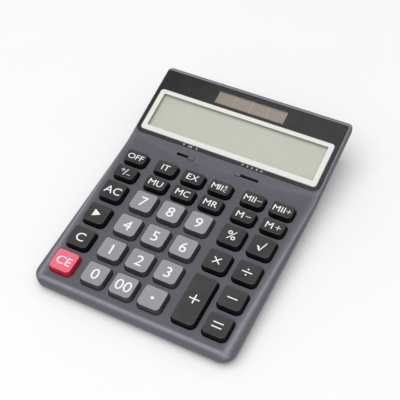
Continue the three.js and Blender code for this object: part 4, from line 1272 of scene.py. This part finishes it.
def feet():
    for node in FEET:
        low, high = (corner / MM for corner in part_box(node))
        x, y, radius = (low.x + high.x) / 2, (low.y + high.y) / 2, (high.x - low.x) / 2
        profile = [(radius, high.z), (radius, low.z + 0.5)]
        profile += curve((radius, low.z + 0.5), (radius, low.z), (radius - 0.6, low.z), 4)[1:]
        profile += [(radius - 1.6, low.z), (radius - 1.8, low.z + 0.2), (radius - 2.2, low.z + 0.2),
                    (radius - 2.4, low.z)]
        rings = [round_ring(r, x, y, z, 40) for r, z in profile]
        finish_piece(loft(f"pad_{node}", rings, [RUBBER]), "case", [node])


def case_screws():
    """Cross-recessed screws, one modelled and copied to its four places."""
    low, high = (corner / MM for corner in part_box(SCREWS[0]))
    radius, head_height, shank = (high.x - low.x) / 2, 1.6, 1.2
    profile = [(radius - 0.5, 0.0), (radius - 0.15, 0.18), (radius, 0.55), (radius, head_height),
               (shank, head_height), (shank, high.z - low.z - 0.6), (shank * 0.4, high.z - low.z)]
    screw = loft("screw", [round_ring(r, 0, 0, z, 28) for r, z in profile])
    tidy_mesh(screw)
    for wide, long in ((0.55, 2.8), (2.8, 0.55)):
        slot = loft("cross", [rounded_ring(wide * s, long * s, 0.1, 0, 0, z, steps=2, cuts=1)
                              for s, z in ((1.1, -0.5), (0.6, 0.9))])
        boolean(screw, slot)
    places = []
    for node in SCREWS:
        start, end = (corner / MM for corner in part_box(node))
        places.append(((start.x + end.x) / 2, (start.y + end.y) / 2, start.z))
    screws = grow_nodes("screws", SPOTS, places, Piece=screw, Finish=STEEL)
    bpy.data.objects.remove(screw)
    return finish_piece(screws, "case", SCREWS)


def battery():
    """The button cell: a rolled can and a smaller cap."""
    low, high = BATTERY_LOW, BATTERY_HIGH
    x, y, radius = (low.x + high.x) / 2, (low.y + high.y) / 2, (high.x - low.x) / 2
    tall = high.z - low.z
    profile = [(radius - 1.6, low.z + 0.12), (radius - 1.2, low.z)]
    profile += curve((radius - 0.4, low.z), (radius, low.z), (radius, low.z + 0.4), 4)
    profile += curve((radius, low.z + tall * 0.78), (radius, low.z + tall * 0.86), (radius - 0.7, low.z + tall * 0.88), 4)
    profile += [(radius - 1.0, low.z + tall * 0.88), (radius - 1.0, high.z - 0.2), (radius - 1.2, high.z)]
    rings = [round_ring(r, x, y, z, 48) for r, z in profile]
    return finish_piece(loft("button_cell", rings, [BATTERY_STEEL]), "battery" if "battery" in frame["bodies"] else "case",
                        ["battery"])


def inner_finishes():
    """Finishes for the frame's own pieces that stay as they are."""
    finishes = {
        "dome_mat": SILICONE, "circuit_board": BOARD, "chip_cover": EPOXY, "display_ribbon": FILM,
        "solar_lead": LEAD_SLEEVE, "battery_contact_top": STEEL, "battery_contact_side": STEEL,
    }
    for node, material in finishes.items():
        for slot in frame["nodes"][node].material_slots:
            slot.material = material


# ---------------------------------------------------------------- studio

VIEW_AZIMUTH = math.radians(32.2)
VIEW_ELEVATION = math.radians(50.06)
VIEW_ROLL = math.radians(-5.51)
VIEW_DISTANCE = 656.9
VIEW_TARGET = Vector((-7.5, 15.93, 0))
LENS = 81


def camera():
    back = Vector((
        math.sin(VIEW_AZIMUTH) * math.cos(VIEW_ELEVATION),
        -math.cos(VIEW_AZIMUTH) * math.cos(VIEW_ELEVATION),
        math.sin(VIEW_ELEVATION),
    ))
    level = Vector((math.cos(VIEW_AZIMUTH), math.sin(VIEW_AZIMUTH), 0))
    right = level * math.cos(VIEW_ROLL) + back.cross(level) * math.sin(VIEW_ROLL)
    turn = Matrix((right, back.cross(right), back)).transposed().to_4x4()
    data = bpy.data.cameras.new("view")
    data.lens = LENS
    data.sensor_width = 36
    data.clip_start = 0.01
    eye = bpy.data.objects.new("view", data)
    eye.matrix_world = Matrix.Translation((VIEW_TARGET + back * VIEW_DISTANCE) * MM) @ turn
    bpy.context.scene.collection.objects.link(eye)
    bpy.context.scene.camera = eye


def area_light(name, place, target, size, power, colour=(1, 1, 1)):
    data = bpy.data.lights.new(name, "AREA")
    data.shape = "DISK"
    data.size = size
    data.energy = power
    data.color = colour
    lamp = bpy.data.objects.new(name, data)
    aim = (Vector(target) - Vector(place)).to_track_quat("-Z", "Y")
    lamp.matrix_world = Matrix.Translation(place) @ aim.to_matrix().to_4x4()
    bpy.context.scene.collection.objects.link(lamp)


def floor():
    """A wide pale sheet, a little uneven in tone."""
    half = 3000
    cuts = 8
    step = 2 * half / cuts
    points = [(-half + step * i, -half + step * j, 0) for j in range(cuts + 1) for i in range(cuts + 1)]
    faces = []
    for j in range(cuts):
        for i in range(cuts):
            a = j * (cuts + 1) + i
            faces.append((a, a + 1, a + cuts + 2, a + cuts + 1))
    paper = moulding("white studio paper", (0.93, 0.93, 0.93, 1), (0.93, 0.93, 0.93, 1), 0.8, grain=800.0,
                     grain_depth=0.0, wear_and_highlight=0.0, dust=0.0, drift=0.01, speckle=0.005, specular=0.1)
    make_object("floor", points, faces, [paper])


def studio():
    world = bpy.data.worlds.new("studio")
    world.use_nodes = True
    world.node_tree.nodes["Background"].inputs["Color"].default_value = (1, 1, 1, 1)
    world.node_tree.nodes["Background"].inputs["Strength"].default_value = 0.5
    bpy.context.scene.world = world
    area_light("overhead light", (-0.1, -0.55, 2.4), (0, 0, 0), 3.4, 50)
    bpy.context.scene.view_settings.view_transform = "Standard"
    camera()
    floor()


# ---------------------------------------------------------------- the calculator

upper_case()
case_bottom()
for key_node in KEYS:
    key_cap(key_node)
for switch_node in SWITCHES:
    switch_knob(switch_node)
panel()
bezel()
display_cell()
solar_cell()
solar_lines()
battery_door()
feet()
case_screws()
battery()
inner_finishes()
studio()
